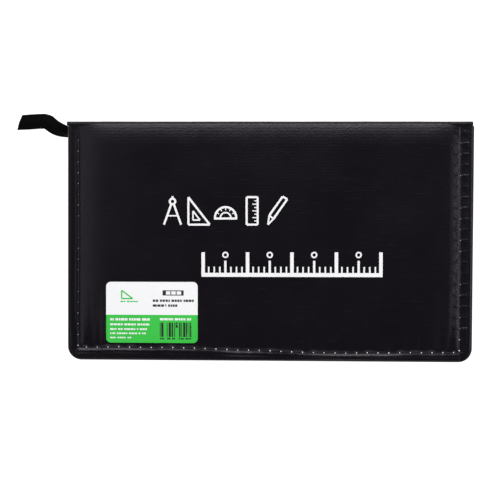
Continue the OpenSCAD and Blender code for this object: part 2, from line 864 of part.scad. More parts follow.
module pencil_barrel() {
    end = pencil_x + pencil_l;
    color([0.15, 0.25, 0.45]) at_pencil() difference() {
        union() {
            rod(pencil_x + grip_l, end - 2, pencil_r);
            rod(end - 2, end, pencil_r, pencil_r - 0.8);
        }
        rod(end - push - 10, end + 1, stem_r + 0.06);
    }
}

module pencil_grip() {
    color([0.13, 0.13, 0.14]) at_pencil() difference() {
        rod(pencil_x, pencil_x + grip_l, pencil_r + grip_t);
        for (i = [0:9]) translate([pencil_x + 4 + i * 2.8, 0, 0]) difference() {
            rod(0, 1, pencil_r + grip_t + 1);
            rod(0, 1, pencil_r - 0.25);
        }
    }
}

module pencil_tip() {
    color(metal) at_pencil() {
        rod(pencil_x - 10, pencil_x, 1.2, pencil_r - 0.2);
        rod(pencil_x - 14, pencil_x - 10, 0.55);
    }
}

module pencil_clip() {
    end = pencil_x + pencil_l;
    root = end - clip_in;
    color(metal) at_pencil() {
        translate([root - clip_l, -clip_w / 2, pencil_r + 0.6]) cube([clip_l, clip_w, 0.6]);
        difference() {
            translate([root - 4, -clip_w / 2, 0]) cube([4, clip_w, pencil_r + 1.2]);
            rod(root - 5, root + 1, pencil_r + 0.02);
        }
        translate([root - clip_l + 2, 0, pencil_r + 0.9]) rotate([90, 0, 0])
            cylinder(h = clip_w, r = 0.8, center = true);
    }
}

module pencil_button() {
    end = pencil_x + pencil_l;
    color(metal) at_pencil() {
        rod(end - 8, end + push + 0.4, stem_r);
        rod(end + push + 0.3, end + push + 6, button_r);
        rod(end + push + 6, end + push + 7, button_r, button_r - 1);
    }
}

// ---------------------------------------------------------------- small instruments

// The bar's socket, with its screw, stands just past the right elastic
module at_socket() {
    translate([strap_x + strap_w / 2 + thumb_r + 1, -extension_y, item_z + socket_r]) children();
}

module extension_bar() {
    end = thumb_r + 4;
    bore_r = needle_r + 0.1;
    color(metal) at_socket() difference() {
        union() {
            rod(end - extension_l, end - 30, extension_r);
            rod(end - 30, end - 27, extension_r, socket_r);
            rod(end - 27, end, socket_r);
            rod(end - extension_l - 8, end - extension_l, needle_r);
        }
        rod(-8, end + 1, bore_r);
        rotate([-90, 0, 0]) cylinder(h = 10, r = thumb_shaft_r + 0.02);
    }
}

module extension_screw() {
    color(metal) at_socket() translate([0, socket_r, 0])
        thumbscrew(socket_r - needle_r - 0.3);
}

module at_tube() {
    translate([strap_x, -tube_y, item_z + tube_r]) children();
}

module lead_tube() {
    color(clear_blue) at_tube() difference() {
        rod(-tube_l / 2, tube_l / 2 - cap_l, tube_r);
        rod(1 - tube_l / 2, tube_l / 2, tube_r - tube_t);
    }
}

module lead_tube_cap() {
    color([0.15, 0.25, 0.45]) at_tube() {
        rod(tube_l / 2 - cap_l, tube_l / 2, tube_r);
        rod(tube_l / 2 - cap_l - plug_l, tube_l / 2 - cap_l + 0.1, tube_r - tube_t - 0.05);
    }
}

module spare_leads() {
    ring_r = 2 * lead_r + layer_gap;
    start = 1.2 - tube_l / 2;
    end = tube_l / 2 - cap_l - plug_l - 0.4;
    color([0.2, 0.2, 0.22]) at_tube() {
        rod(start, end, lead_r);
        for (i = [0:5]) rotate([i * 60, 0, 0]) translate([0, 0, ring_r]) rod(start, end, lead_r);
    }
}

// The screwdriver's handle starts left of the left elastic
module at_driver() {
    translate([-strap_x - 0.6 * handle_l, -tube_y, item_z + handle_r]) children();
}

module screwdriver_handle() {
    color([0.7, 0.5, 0.1]) at_driver() difference() {
        union() {
            rod(0, 2, handle_r - 0.8, handle_r);
            rod(2, handle_l - 3, handle_r);
            rod(handle_l - 3, handle_l, handle_r, 2);
        }
        for (i = [0:5]) rotate([i * 60, 0, 0]) translate([0, 0, handle_r + 0.7])
            rod(5, handle_l - 7, 1.2);
        rod(handle_l - socket_l, handle_l + 1, driver_r + 0.02);
    }
}

module screwdriver_blade() {
    flat = 6;
    color(metal) at_driver() {
        rod(handle_l - socket_l + 0.5, handle_l + driver_l - flat + 2, driver_r);
        translate([handle_l + driver_l - flat, -1.6, -0.35]) cube([flat, 3.2, 0.7]);
    }
}

module at_pen() {
    translate([strap_x, -eraser_y, item_z + pen_w / 2]) children();
}

// Ruling pen that fits the compass: a shank, a flat handle and two springy blades
module ruling_pen() {
    root = pen_w / 2 - 0.6;
    tip = blade_gap / 2 + 0.35;
    color(metal) at_pen() difference() {
        union() {
            rod(pen_l / 2 - 1, pen_l / 2 + 13, needle_r);
            rod(-pen_l / 2, pen_l / 2, pen_w / 2);
            translate([0, 0, -2.5]) linear_extrude(5) translate([-pen_l / 2, 0])
                polygon([[1, -root], [-blade_l / 3, -2.4], [-blade_l, -tip],
                    [-blade_l, tip], [-blade_l / 3, 2.4], [1, root]]);
        }
        translate([-pen_l / 2 - blade_l - 1, -blade_gap / 2, -5])
            cube([blade_l, blade_gap, 10]);
        translate([-pen_l / 2 - blade_screw, 0, 0]) rotate([90, 0, 0])
            cylinder(h = 20, r = thumb_shaft_r + 0.02, center = true);
    }
}

module pen_screw() {
    color(metal) at_pen() translate([-pen_l / 2 - blade_screw, 2.9, 0]) thumbscrew(5.6);
}

module eraser() {
    color([0.93, 0.93, 0.92]) translate([-strap_x - eraser_l / 2, -eraser_y - eraser_w / 2,
        item_z + sleeve_t]) cube([eraser_l, eraser_w, eraser_h]);
}

module eraser_sleeve() {
    color([0.2, 0.35, 0.6]) translate([0, -eraser_y, item_z]) difference() {
        translate([-strap_x - eraser_l / 2 + 2, -eraser_w / 2 - sleeve_t, 0])
            cube([eraser_l - 12, eraser_w + 2 * sleeve_t, eraser_h + 2 * sleeve_t]);
        translate([-strap_x - eraser_l, -eraser_w / 2, sleeve_t])
            cube([2 * eraser_l, eraser_w, eraser_h]);
    }
}

// ---------------------------------------------------------------- lid pocket

module pocket_sheet() {
    color(clear_blue) translate([-pocket_w / 2, pocket_low, sheet_z])
        cube([pocket_w, pocket_d, sheet_t]);
}

// Binding on three sides, from the sheet up to the lining; it opens towards the spine
module pocket_binding() {
    color([0.1, 0.1, 0.11]) translate([0, pocket_low, sheet_z + sheet_t])
        linear_extrude(front_lining_z - sheet_z - sheet_t) {
            translate([-pocket_w / 2, 0]) square([pocket_w, binding_w]);
            for (x = [-pocket_w / 2, pocket_w / 2 - binding_w])
                translate([x, 0]) square([binding_w, pocket_d]);
        }
}

// Set square with an open middle: side lengths of its two legs and its rim's width
module set_square(leg_x, leg_y, rim) {
    hyp = norm([leg_x, leg_y]);
    in_r = rim * (leg_x + leg_y + hyp) / (leg_x * leg_y);
    linear_extrude(square_t) difference() {
        polygon([[0, 0], [leg_x, 0], [0, leg_y]]);
        polygon([[rim, rim], [leg_x * (1 - in_r) + rim, rim], [rim, leg_y * (1 - in_r) + rim]]);
    }
}

module set_square_45() {
    color(clear_blue) translate([0, pocket_low + binding_w + 2 + square_45 / sqrt(2),
        square_45_z]) rotate([0, 0, 225]) set_square(square_45, square_45, 24);
}

module set_square_60() {
    color(clear_blue) translate([-pocket_w / 2 + binding_w + 8, pocket_low + binding_w + 1,
        square_60_z]) set_square(square_60, square_60 / sqrt(3), 22);
}

module protractor() {
    rim = 12;
    color(clear_blue) translate([pocket_w / 2 - binding_w - protractor_r - 4,
        pocket_low + binding_w + 2, scale_z]) linear_extrude(scale_t)
            difference() {
                intersection() {
                    translate([0, 6]) circle(r = protractor_r);
                    translate([-protractor_r, 0]) square([2 * protractor_r, protractor_r + 6]);
                }
                intersection() {
                    translate([0, 6]) circle(r = protractor_r - rim);
                    translate([-protractor_r, 12]) square(2 * protractor_r);
                }
            }
}

module scale_rule() {
    color([0.93, 0.93, 0.9]) translate([binding_w + 13 - pocket_w / 2,
        pocket_low + pocket_d - rule_w - 8, scale_z]) cube([rule_l, rule_w, scale_t]);
}

back_skin();
back_foam();
back_board();
back_lining();
back_tape();
back_coil();
back_stop();
zipper_tail();
strap_right();
strap_left();
compass_handle();
compass_head();
compass_pivot();
needle_leg();
needle();
needle_screw();
lead_leg();
lead_holder();
compass_lead();
lead_screw();
pencil_barrel();
pencil_grip();
pencil_tip();
pencil_clip();
pencil_button();
extension_bar();
extension_screw();
lead_tube();
lead_tube_cap();
spare_leads();
screwdriver_handle();
screwdriver_blade();
ruling_pen();
pen_screw();
eraser();
eraser_sleeve();
spine_skin();
spine_board();
spine_lining();
front_skin();
front_foam();
front_board();
front_lining();
front_tape();
front_coil();
front_stop();
label_sticker();
pocket_sheet();
pocket_binding();
set_square_45();
set_square_60();
protractor();
scale_rule();
slider_body();
slider_puller();
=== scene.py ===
"""Zip-round drafting instrument case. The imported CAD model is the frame; this script gives its soft
parts their real form and every part its finish. Metres, in the frame of the CAD model."""
import math

import bpy
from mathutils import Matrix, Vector, noise


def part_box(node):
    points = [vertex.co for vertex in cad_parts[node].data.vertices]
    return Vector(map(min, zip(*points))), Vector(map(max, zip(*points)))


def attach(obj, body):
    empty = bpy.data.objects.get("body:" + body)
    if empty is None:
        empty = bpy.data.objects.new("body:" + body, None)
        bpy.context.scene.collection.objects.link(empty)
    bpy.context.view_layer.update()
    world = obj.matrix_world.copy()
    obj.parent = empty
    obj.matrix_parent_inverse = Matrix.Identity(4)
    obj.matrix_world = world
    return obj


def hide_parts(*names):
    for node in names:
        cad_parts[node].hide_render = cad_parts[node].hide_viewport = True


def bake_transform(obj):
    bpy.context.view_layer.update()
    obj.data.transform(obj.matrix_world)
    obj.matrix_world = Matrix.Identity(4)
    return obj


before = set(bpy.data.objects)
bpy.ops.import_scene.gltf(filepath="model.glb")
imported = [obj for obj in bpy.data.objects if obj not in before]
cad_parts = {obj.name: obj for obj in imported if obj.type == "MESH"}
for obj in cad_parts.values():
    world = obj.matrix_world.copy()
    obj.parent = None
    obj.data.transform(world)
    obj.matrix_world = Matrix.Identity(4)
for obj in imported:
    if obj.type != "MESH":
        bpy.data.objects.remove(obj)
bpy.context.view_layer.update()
bpy.ops.object.select_all(action="DESELECT")

# ---- Camera, table and studio
# The case lies shut on a white table and is seen from straight above, spine away from the viewer.
# Long softboxes at the spine, both sides and the front leave the middle of the black cover dark.
CAMERA_OFFSET = Vector((-0.0132, -0.0045, 0.9105))
cover_low, cover_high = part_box("front_skin")
cover_top = Vector(((cover_low.x + cover_high.x) / 2, (cover_low.y + cover_high.y) / 2, cover_high.z))
bpy.ops.object.camera_add(location=cover_top + CAMERA_OFFSET)
camera = bpy.context.object
camera.data.lens = 100
camera.data.sensor_width = 36
bpy.context.scene.camera = camera
bpy.context.scene.view_settings.view_transform = "Standard"


def feed(node, values):
    """Links or sets inputs of a shader node."""
    for key, value in values.items():
        if isinstance(value, bpy.types.NodeSocket):
            node.id_data.links.new(value, node.inputs[key])
        else:
            node.inputs[key].default_value = value


def add_node(tree, kind, values=None, **settings):
    """Adds a shader node with its settings and inputs."""
    made = tree.nodes.new(kind if kind.startswith("NodeGroup") else "ShaderNode" + kind)
    for key, value in settings.items():
        setattr(made, key, value)
    feed(made, values or {})
    return made


def math_node(tree, operation, *values, clamp=False):
    """One step of arithmetic on sockets or plain numbers."""
    return add_node(tree, "Math", dict(enumerate(values)), operation=operation, use_clamp=clamp).outputs[0]


def remap(tree, value, start, end, low=0.0, high=1.0, kind="LINEAR"):
    """Carries a value from one range over into another."""
    return add_node(tree, "MapRange", {"Value": value, "From Min": start, "From Max": end, "To Min": low,
                                       "To Max": high}, interpolation_type=kind).outputs[0]


bpy.ops.mesh.primitive_plane_add(size=40, location=(0, 0, -0.0004))
table_top = bpy.context.object
table_top.name = "table_top"
white_table = bpy.data.materials.new("white_table")
white_table.use_nodes = True
tree = white_table.node_tree
tree.nodes.clear()
path = add_node(tree, "LightPath").outputs
seen = math_node(tree, "MAXIMUM", path["Is Camera Ray"], path["Is Glossy Ray"])
seen = math_node(tree, "MAXIMUM", seen, path["Is Transmission Ray"])
glow = add_node(tree, "Emission", {"Color": (1, 1, 1, 1), "Strength": 0.93})
shade = add_node(tree, "BsdfDiffuse", {"Color": (0.4, 0.4, 0.4, 1)})
both = add_node(tree, "AddShader", {0: glow.outputs[0], 1: shade.outputs[0]})
plain = add_node(tree, "BsdfDiffuse", {"Color": (0.7, 0.7, 0.7, 1)})
mixed = add_node(tree, "MixShader", {0: seen, 1: plain.outputs[0], 2: both.outputs[0]})
add_node(tree, "OutputMaterial", {"Surface": mixed.outputs[0]})
table_top.data.materials.append(white_table)

# glossy rays see a white horizon and walls that darken upwards, diffuse rays an even grey
world = bpy.context.scene.world or bpy.data.worlds.new("studio")
bpy.context.scene.world = world
world.use_nodes = True
tree = world.node_tree
tree.nodes.clear()
path = add_node(tree, "LightPath").outputs
seen = math_node(tree, "MAXIMUM", path["Is Camera Ray"], path["Is Transmission Ray"])
direction = add_node(tree, "TexCoord").outputs["Generated"]
height = add_node(tree, "SeparateXYZ", {0: direction}).outputs["Z"]
walls = remap(tree, height, 0.05, 0.75, 0.34, 0.11, "SMOOTHSTEP")
backdrop = remap(tree, height, 0.03, 0.13, 1.0, 0.0, "SMOOTHSTEP")
mirrored = math_node(tree, "MAXIMUM", walls, backdrop)
lit = add_node(tree, "Mix", {0: path["Is Glossy Ray"], 2: 0.38, 3: mirrored}, data_type="FLOAT")
strength = add_node(tree, "Mix", {0: seen, 2: lit.outputs[0], 3: 1.0}, data_type="FLOAT")
sky = add_node(tree, "Background", {"Color": (1, 1, 1, 1), "Strength": strength.outputs[0]})
add_node(tree, "OutputWorld", {"Surface": sky.outputs[0]})

for name, place, long_side, short_side, power in (
        ("spine_softbox", (0.05, 0.80, 1.02), 1.2, 0.30, 9.6),
        ("left_softbox", (-0.56, 0.05, 0.96), 0.9, 0.2, 0.9),
        ("right_softbox", (0.85, 0.0, 0.75), 0.9, 0.3, 2.9),
        ("front_softbox", (-0.10, -1.00, 0.75), 1.0, 0.3, 2.3)):
    bpy.ops.object.light_add(type="AREA", location=place)
    lamp = bpy.context.object
    lamp.name = name
    lamp.data.shape = "RECTANGLE"
    lamp.data.size, lamp.data.size_y = long_side, short_side
    lamp.data.energy = power
    lamp.rotation_euler = (-Vector(place)).to_track_quat("-Z", "Y").to_euler()

# ---- Leather of the two covers
# Each cover is foam-backed black synthetic leather over board, folded round the board's edge, and
# sewn to the zipper tape through one seam on the three open sides. The seam pulls the soft face
# down, so the panel stands up behind it as a low pad and the margin rolls over the cover's edge.
HALF_W = cover_high.x * 1000
MOUTH = cover_low.y * 1000
COVER_END = cover_high.y * 1000
COVER_TOP = cover_high.z * 1000
CROWN = 1.8
MARGIN_T = 3.4
CORNER_R = 9.0
STITCH = 7.1
LEFT_HOLE, RIGHT_HOLE = 66.0, 64.0    # y of the first needle hole of each side
GROOVE_W, HOLE_DEPTH, HOLE_W, HOLE_RUN = 0.9, 0.20, 1.0, 0.8
PAD_LEFT, PAD_RIGHT, PAD_MOUTH, PAD_SPINE = 22, 24, 21, 16    # how far in the pad goes on rising
BEAD_REACH = 2.8    # from the cover's end to where its leather comes off the spine's bead
BANK_W = 7.0
HEM_FOLD, EDGE_FOLD, MOUTH_FOLD = 4.9, 3.3, 2.4    # how far in from the left, right and mouth edges
ROLL_IN, ROLL_H, ROLL_W = 2.6, 0.60, 1.45
PUCKER_RUN = 16


def smooth(start, end, value):
    t = min(max((value - start) / (end - start), 0.0), 1.0)
    return t * t * (3 - 2 * t)


def hump(distance, width):
    return math.exp(-(distance / width) ** 2)


def ripple(x, y, z):
    """Soft noise from about -0.5 to 0.5."""
    return noise.noise(Vector((x, y, z)))


def wobble(place, lane, length):
    """A slow irregular wave along a seam, from about -1 to 1."""
    return ripple(place / length, lane * 7.3, 0.37) * 1.8


def spread(start, end, count):
    """Evenly spaced numbers from start to end, count steps apart."""
    return [start + (end - start) * i / count for i in range(count + 1)]


def seam_in(side, t, face):
    """How far in from the cover's edge the seam runs, in mm, at a place t mm along that side."""
    if side == "left":
        return 6.9 + 0.18 * wobble(t, 1 + face, 30)
    if side == "right":
        return 8.6 + 0.25 * wobble(t, 3 + face, 26)
    if face:
        return 7.2 + 0.25 * wobble(t, 8, 30)
    drift = 8.5 - 2.9 * smooth(-70, 40, t) + 0.9 * smooth(50, 130, t)
    return drift + 0.22 * wobble(t, 5, 17)


def along(place, start):
    """Distance along the seam to the nearest needle hole."""
    return (place - start + STITCH / 2) % STITCH - STITCH / 2


def cover_height(x, y, face=0):
    """Height of the leather over the cover's flat margin, in mm; face 0 is the front, 1 the back."""
    left, right, mouth = x + HALF_W, HALF_W - x, y - MOUTH
    q_left = left - seam_in("left", y, face)
    q_right = right - seam_in("right", y, face)
    q_mouth = mouth - seam_in("mouth", x, face)
    sides = smooth(-1.5, 1.0, q_mouth)
    ends = smooth(-1.5, 1.0, q_left) * smooth(-1.5, 1.0, q_right)
    # the pad rises in a quarter round behind each seam, and on the right in a short even slope too
    q_spine = COVER_END + BEAD_REACH - y
    rises = [1 - (1 - min(max(q / w, 0), 1)) ** 2 for q, w in (
        (q_left, PAD_LEFT), (q_right - 0.5, PAD_RIGHT), (q_mouth, PAD_MOUTH), (q_spine, PAD_SPINE))]
    bank = min(max((q_right - 0.5) / BANK_W, 0), 1)
    rises[1] = 0.55 * rises[1] + 0.25 * bank + 0.20 * smooth(0, 1, bank)
    pad = math.prod(rises) ** 0.9
    h = CROWN * pad
    # the seam's own groove and the needle holes
    for q, hole, depth, reach in ((q_left, along(y, LEFT_HOLE), 0.20, sides),
                                  (q_right, along(y, RIGHT_HOLE), 0.20, sides),
                                  (q_mouth, along(x, 0.0), 0.24, ends)):
        h -= (depth * hump(q, GROOVE_W) + HOLE_DEPTH * hump(q, HOLE_W) * hump(hole, HOLE_RUN)) * reach
    # the hem's fold shows through the left margin, and the right one is drawn in at each stitch
    if left < 12:
        bend = HEM_FOLD + 0.25 * wobble(y, 11 + face, 40) + 0.7 * smooth(-45, -68, y)
        h += (0.22 * hump(left - bend + 2.6, 1.7) - 0.26 * hump(left - bend, 0.5)
              + 0.13 * hump(left - bend - 1.05, 0.5)) * sides
    if right < 26:
        bend = EDGE_FOLD + 0.15 * wobble(y, 14 + face, 35)
        hole = round((y - RIGHT_HOLE) / STITCH)
        pull = 0.10 + 0.36 * abs(wobble(hole, 17 + face, 1.7)) * (1.15 - 0.75 * smooth(-60, 60, y))
        reach = smooth(14.0, 10.2, right) * smooth(1.8, 4.0, right) * sides
        h += pull * hump(along(y, RIGHT_HOLE), 0.55) * reach
        h -= 0.06 * hump(along(y, RIGHT_HOLE + STITCH / 2), 1.6) * reach
        h += 0.10 * ripple(x / 2.2, y / 1.6, 4.4) * reach
        h += (0.25 * hump(right - bend + 0.9, 0.6) - 0.24 * hump(right - bend, 0.45)) * sides
    # below the mouth's seam the leather stands in a roll, and above it in shallow upright puckers
    if mouth < 45:
        swell = 0.85 + 0.4 * wobble(x, 21 + face, 24)
        h += ROLL_H * swell * hump(q_mouth + ROLL_IN, ROLL_W) * ends
        h -= 0.22 * hump(mouth - MOUTH_FOLD - 0.4 * wobble(x, 23, 30), 0.6) * ends
        if q_mouth > 0:
            fade = math.exp(-q_mouth / PUCKER_RUN) * ends * smooth(0, 3, q_mouth)
            h += 0.60 * fade * ripple(x / 5.2, q_mouth / 60, 3.1 + face)
            h += 0.22 * fade * ripple(x / 2.3, q_mouth / 40, 8.4 + face)
    # padding is never quite even
    return h + (0.13 * ripple(x / 42, y / 30, 1.7 + face) + 0.05 * ripple(x / 13, y / 9, 5.2 + face)) * pad


def settle(x, y):
    """The front cover has gone slightly out of square, widest at its spine-side right corner."""
    right = max(0.0, x / HALF_W) ** 2
    low = max(0.0, -y / HALF_W * 1.7)
    return x + right * (0.6 + 0.85 * y / 78.5), y - low * (0.66 + 0.96 * x / HALF_W)


def on_cover(x, y, h, face):
    """The place, in mm, of a point of a cover's leather at a height over its flat margin."""
    return (x, y, CROWN - h) if face else (*settle(x, y), COVER_TOP - CROWN + h)


def edge_turn():
    """Path of the leather from the corner's centre line out over the edge and in behind the board:
    (distance out, drop below the margin's top, share of the surface's own height)."""
    r = MARGIN_T / 2
    steps = [(c * 0.6, 0.0, 1.0) for c in range(13)]
    steps += [(CORNER_R - r + r * math.sin(a), r - r * math.cos(a), max(math.cos(a), 0.0) ** 0.6)
              for a in (math.radians(12 + 15.6 * i) for i in range(11))]
    steps += [(c, MARGIN_T, 0.0) for c in (6.2, 4.2, 2.4, 1.0)]
    # its closed back lies within the lining's own thickness
    return steps + [(0.7, MARGIN_T - 0.15, 0.0), (0.6, MARGIN_T - 0.63, 0.0)]


def edit_mesh(*steps, select=None):
    """Runs steps in edit mode on the active mesh, if asked with all or none of it selected."""
    bpy.ops.object.mode_set(mode="EDIT")
    if select:
        bpy.ops.mesh.select_all(action=select)
    for step in steps:
        step()
    bpy.ops.object.mode_set(mode="OBJECT")


def select_only(obj, vertices):
    """Selects these vertices of a mesh, with the edges and faces between them."""
    for group in (obj.data.polygons, obj.data.edges, obj.data.vertices):
        group.foreach_set("select", [False] * len(group))
    for i in vertices:
        obj.data.vertices[i].select = True


def close_ring(obj, vertices):
    """Closes an open row of vertices with one edge and fills the ring with small faces."""
    bpy.context.tool_settings.mesh_select_mode = (True, False, False)
    select_only(obj, (vertices[0], vertices[-1]))
    edit_mesh(bpy.ops.mesh.edge_face_add)
    select_only(obj, vertices)
    edit_mesh(bpy.ops.mesh.edge_face_add,
              lambda: bpy.ops.mesh.quads_convert_to_tris(quad_method="FIXED", ngon_method="CLIP"))


def lay_sheet(name, wide, deep, put):
    """A grid of cells laid down as a flexible sheet: put(i, j) gives each crossing's place in mm."""
    bpy.ops.mesh.primitive_grid_add(x_subdivisions=wide, y_subdivisions=deep, size=2)
    sheet = bpy.context.object
    sheet.name = sheet.data.name = name
    for v in sheet.data.vertices:
        j, i = divmod(v.index, wide + 1)
        v.co = Vector(put(i, j)) / 1000
    bpy.ops.object.select_all(action="DESELECT")
    sheet.select_set(True)
    return sheet


def lay_rounded(name, outs, inner_x, inner_y, center_x, center_y, lift):
    """A sheet with rings run out round its two sides and its mouth, outs mm from the corners' centres;
    lift(x, y, ring, row counted from the end) gives each crossing's place. Returns the sheet with the
    vertices of its outer row and of its end."""
    rings = range(1, len(outs))
    columns = [(-1, k, 0) for k in reversed(rings)] + [(0, 0, x) for x in inner_x]
    columns += [(1, k, 0) for k in rings]
    rows = [(1, k, 0) for k in reversed(rings)] + [(0, 0, y) for y in inner_y]
    wide, deep = len(columns) - 1, len(rows) - 1

    def put(i, j):
        side, kx, x = columns[i]
        low, ky, y = rows[j]
        ring = max(kx, ky)
        if side and low:
            angle = math.pi / 4 * (ky / kx if kx >= ky else 2 - kx / ky)
            x = side * (center_x + outs[ring] * math.cos(angle))
            y = center_y - outs[ring] * math.sin(angle)
        elif side:
            x = side * (center_x + outs[ring])
        elif low:
            y = center_y - outs[ring]
        return lift(x, y, ring, j - len(rows))

    left = range(0, (wide + 1) * (deep + 1), wide + 1)
    right = [i + wide for i in left]
    rim = [*reversed(left), *range(1, wide), *right]
    return lay_sheet(name, wide, deep, put), rim, range(left[-1], right[-1] + 1)


def smooth_off(obj, degrees=50):
    """Turns all faces outwards and smooths the shading."""
    bpy.context.view_layer.objects.active = obj
    edit_mesh(lambda: bpy.ops.mesh.normals_make_consistent(inside=False), select="SELECT")
    bpy.ops.object.shade_smooth_by_angle(angle=math.radians(degrees))


def coat(obj, material):
    obj.data.materials.clear()
    obj.data.materials.append(material)


def join_in(obj, material, body, slot, *nodes):
    """Gives a finished piece its material, the body that it rides on and the solids that it stands for."""
    coat(obj, material)
    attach(obj, body)
    if nodes:
        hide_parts(*nodes)


def sewn_cover(name, face):
    """One cover: a grid laid over the board, drawn round its edges and closed behind."""
    turn = edge_turn()
    center_x, center_y = HALF_W - CORNER_R, MOUTH + CORNER_R
    middle = center_x - 13.5
    inner_x = [-center_x + 0.5 * i for i in range(27)] + spread(-middle, middle, 150 if face else 190)
    inner_x += [middle + 0.5 * i for i in range(1, 28)]
    inner_y = spread(center_y, COVER_END - 1.2, 150 if face else 280) + [COVER_END - 0.6, COVER_END]
    # past the board's end the leather reaches over the bead and turns back under itself:
    # (reach past the end, level, 1 where it runs below)
    lip = [(0.45, 0.0, 0), (0.9, 0.0, 0), (1.25, 0.02, 0), (1.5, 0.06, 0), (1.66, 0.13, 0),
           (1.72, 0.2, 0), (1.62, 0.10, 1), (1.1, 0.09, 1), (0.5, 0.09, 1), (0.18, -0.15, 1),
           (0.12, -0.6, 1), (0.04, -1.4, 1)]

    def lift(x, y, ring, last):
        _, drop, share = turn[ring]
        step = last + len(lip)
        past, level, under = lip[step] if step >= 0 else (0.0, 0.0, 2)
        whole = max(1 - drop / 0.15, 0.0)
        h = cover_height(x, y + past * (under == 0), face) * share - drop
        if under == 1:
            h += (level - h) * whole
        elif under == 0:
            h += (max(h - level, 0.22) - h) * whole
        y += past * whole + max(step + 1, 0) * 0.01 * (1 - whole)
        return on_cover(x, y, h, face)

    cover, rim, end = lay_rounded(name, [t[0] for t in turn], inner_x, inner_y + [COVER_END] * len(lip),
                                  center_x, center_y, lift)
    close_ring(cover, rim)
    close_ring(cover, end)
    smooth_off(cover)
    return cover


def node_group(name, inputs, outputs):
    """An empty node group with its inputs (no start value for a vector) and outputs."""
    group = bpy.data.node_groups.new(name, "ShaderNodeTree")
    for key, start in inputs.items():
        kind = "NodeSocketVector" if start is None else "NodeSocketFloat"
        socket = group.interface.new_socket(key, in_out="INPUT", socket_type=kind)
        if start is not None:
            socket.default_value = start
    for key in outputs:
        group.interface.new_socket(key, in_out="OUTPUT", socket_type="NodeSocketFloat")
    return group, add_node(group, "NodeGroupInput").outputs


def speckle(tree, place, scale, detail=2.0, **more):
    """The value of a noise texture."""
    inputs = {"Vector": place, "Scale": scale, "Detail": detail, **more}
    return add_node(tree, "TexNoise", inputs).outputs["Fac"]


def bands(tree, place, scale, way, **more):
    """The value of a wave texture."""
    inputs = {"Vector": place, "Scale": scale, **more}
    return add_node(tree, "TexWave", inputs, bands_direction=way).outputs["Fac"]


def leather_grain():
    """Group: fine pebbled grain with a faint woven backing, for bump height, and a slow tone."""
    group, given = node_group("leather_grain", {"Vector": None, "Pebble": 1500.0, "Backing": 0.2},
                              ("Height", "Tone", "Worn"))
    place = given["Vector"]
    pebbles = add_node(group, "TexVoronoi", {"Vector": place, "Scale": given["Pebble"]}, feature="SMOOTH_F1")
    threads = bands(group, place, 150.0, "Y", Distortion=2.5, Detail=2.0, **{"Detail Scale": 3.0})
    h = math_node(group, "MULTIPLY_ADD", speckle(group, place, 2600.0), 0.5, pebbles.outputs["Distance"])
    h = math_node(group, "MULTIPLY_ADD", threads, given["Backing"], h)
    streak = add_node(group, "Mapping", {"Vector": place, "Scale": (14.0, 160.0, 40.0)}).outputs[0]
    worn = remap(group, speckle(group, streak, 6.0, 4.0), 0.60, 0.78)
    add_node(group, "NodeGroupOutput", {"Height": h, "Tone": speckle(group, place, 26.0, 3.0), "Worn": worn})
    return group


def new_finish(name):
    """An empty material with its Principled shader, its tree and the place on the piece."""
    made = bpy.data.materials.new(name)
    made.use_nodes = True
    tree = made.node_tree
    tree.nodes.clear()
    skin = add_node(tree, "BsdfPrincipled")
    add_node(tree, "OutputMaterial", {"Surface": skin.outputs[0]})
    return made, tree, skin, add_node(tree, "TexCoord").outputs["Object"]


def blend_color(tree, factor, first, second):
    """Mixes two colours by a mask."""
    first, second = (c if isinstance(c, bpy.types.NodeSocket) else (*c, 1) for c in (first, second))
    return add_node(tree, "Mix", {0: factor, 6: first, 7: second}, data_type="RGBA").outputs[2]


def relief(tree, height, strength, distance):
    """A bump normal from a height."""
    inputs = {"Height": height, "Strength": strength, "Distance": distance}
    return add_node(tree, "Bump", inputs).outputs[0]


def paint(skin, tone, dark, light, rough, bump=None, **sockets):
    """Sets a finish: two colours mixed by a tone, its roughness (or low end and range along the tone),
    and, where given, a bump (height, strength, distance) and further sockets of the shader."""
    tree = skin.id_data
    if isinstance(rough, tuple):
        rough = math_node(tree, "MULTIPLY_ADD", tone, rough[1], rough[0])
    feed(skin, {"Base Color": blend_color(tree, tone, dark, light), "Roughness": rough, **sockets})
    if bump:
        feed(skin, {"Normal": relief(tree, *bump)})


black_leather, tree, skin, place = new_finish("black_leather")
grain = add_node(tree, "Group", {"Vector": place, "Pebble": 1500.0, "Backing": 0.25},
                 node_tree=leather_grain()).outputs
deep = blend_color(tree, grain["Tone"], (0.0025, 0.0017, 0.0034), (0.0040, 0.0030, 0.0051))
paint(skin, math_node(tree, "MULTIPLY", grain["Worn"], 0.35), deep, (0.016, 0.015, 0.019),
      math_node(tree, "MULTIPLY_ADD", grain["Tone"], 0.12, 0.23), (grain["Height"], 0.35, 0.00016),
      **{"Specular IOR Level": 0.28, "Specular Tint": (0.96, 0.91, 1.0, 1)})

HALVES = ((0, "front"), (1, "back"))
for face, half in HALVES:
    cover = sewn_cover(f"{half}_leather", face)
    join_in(cover, black_leather, f"{half}_half", "leather", f"{half}_skin", f"{half}_foam")

# ---- Leather of the spine
# A strip of the same leather over its own board, turned into a round piped bead along each fold, and
# tucked in flat at both ends. The covers' ends reach over the beads.
BEAD_R = 1.5
SPINE_IN = 0.6
FOLD_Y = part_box("spine_skin")[1].y * 1000 - BEAD_R
FOLDS = (CROWN + BEAD_R, COVER_TOP - CROWN - BEAD_R)


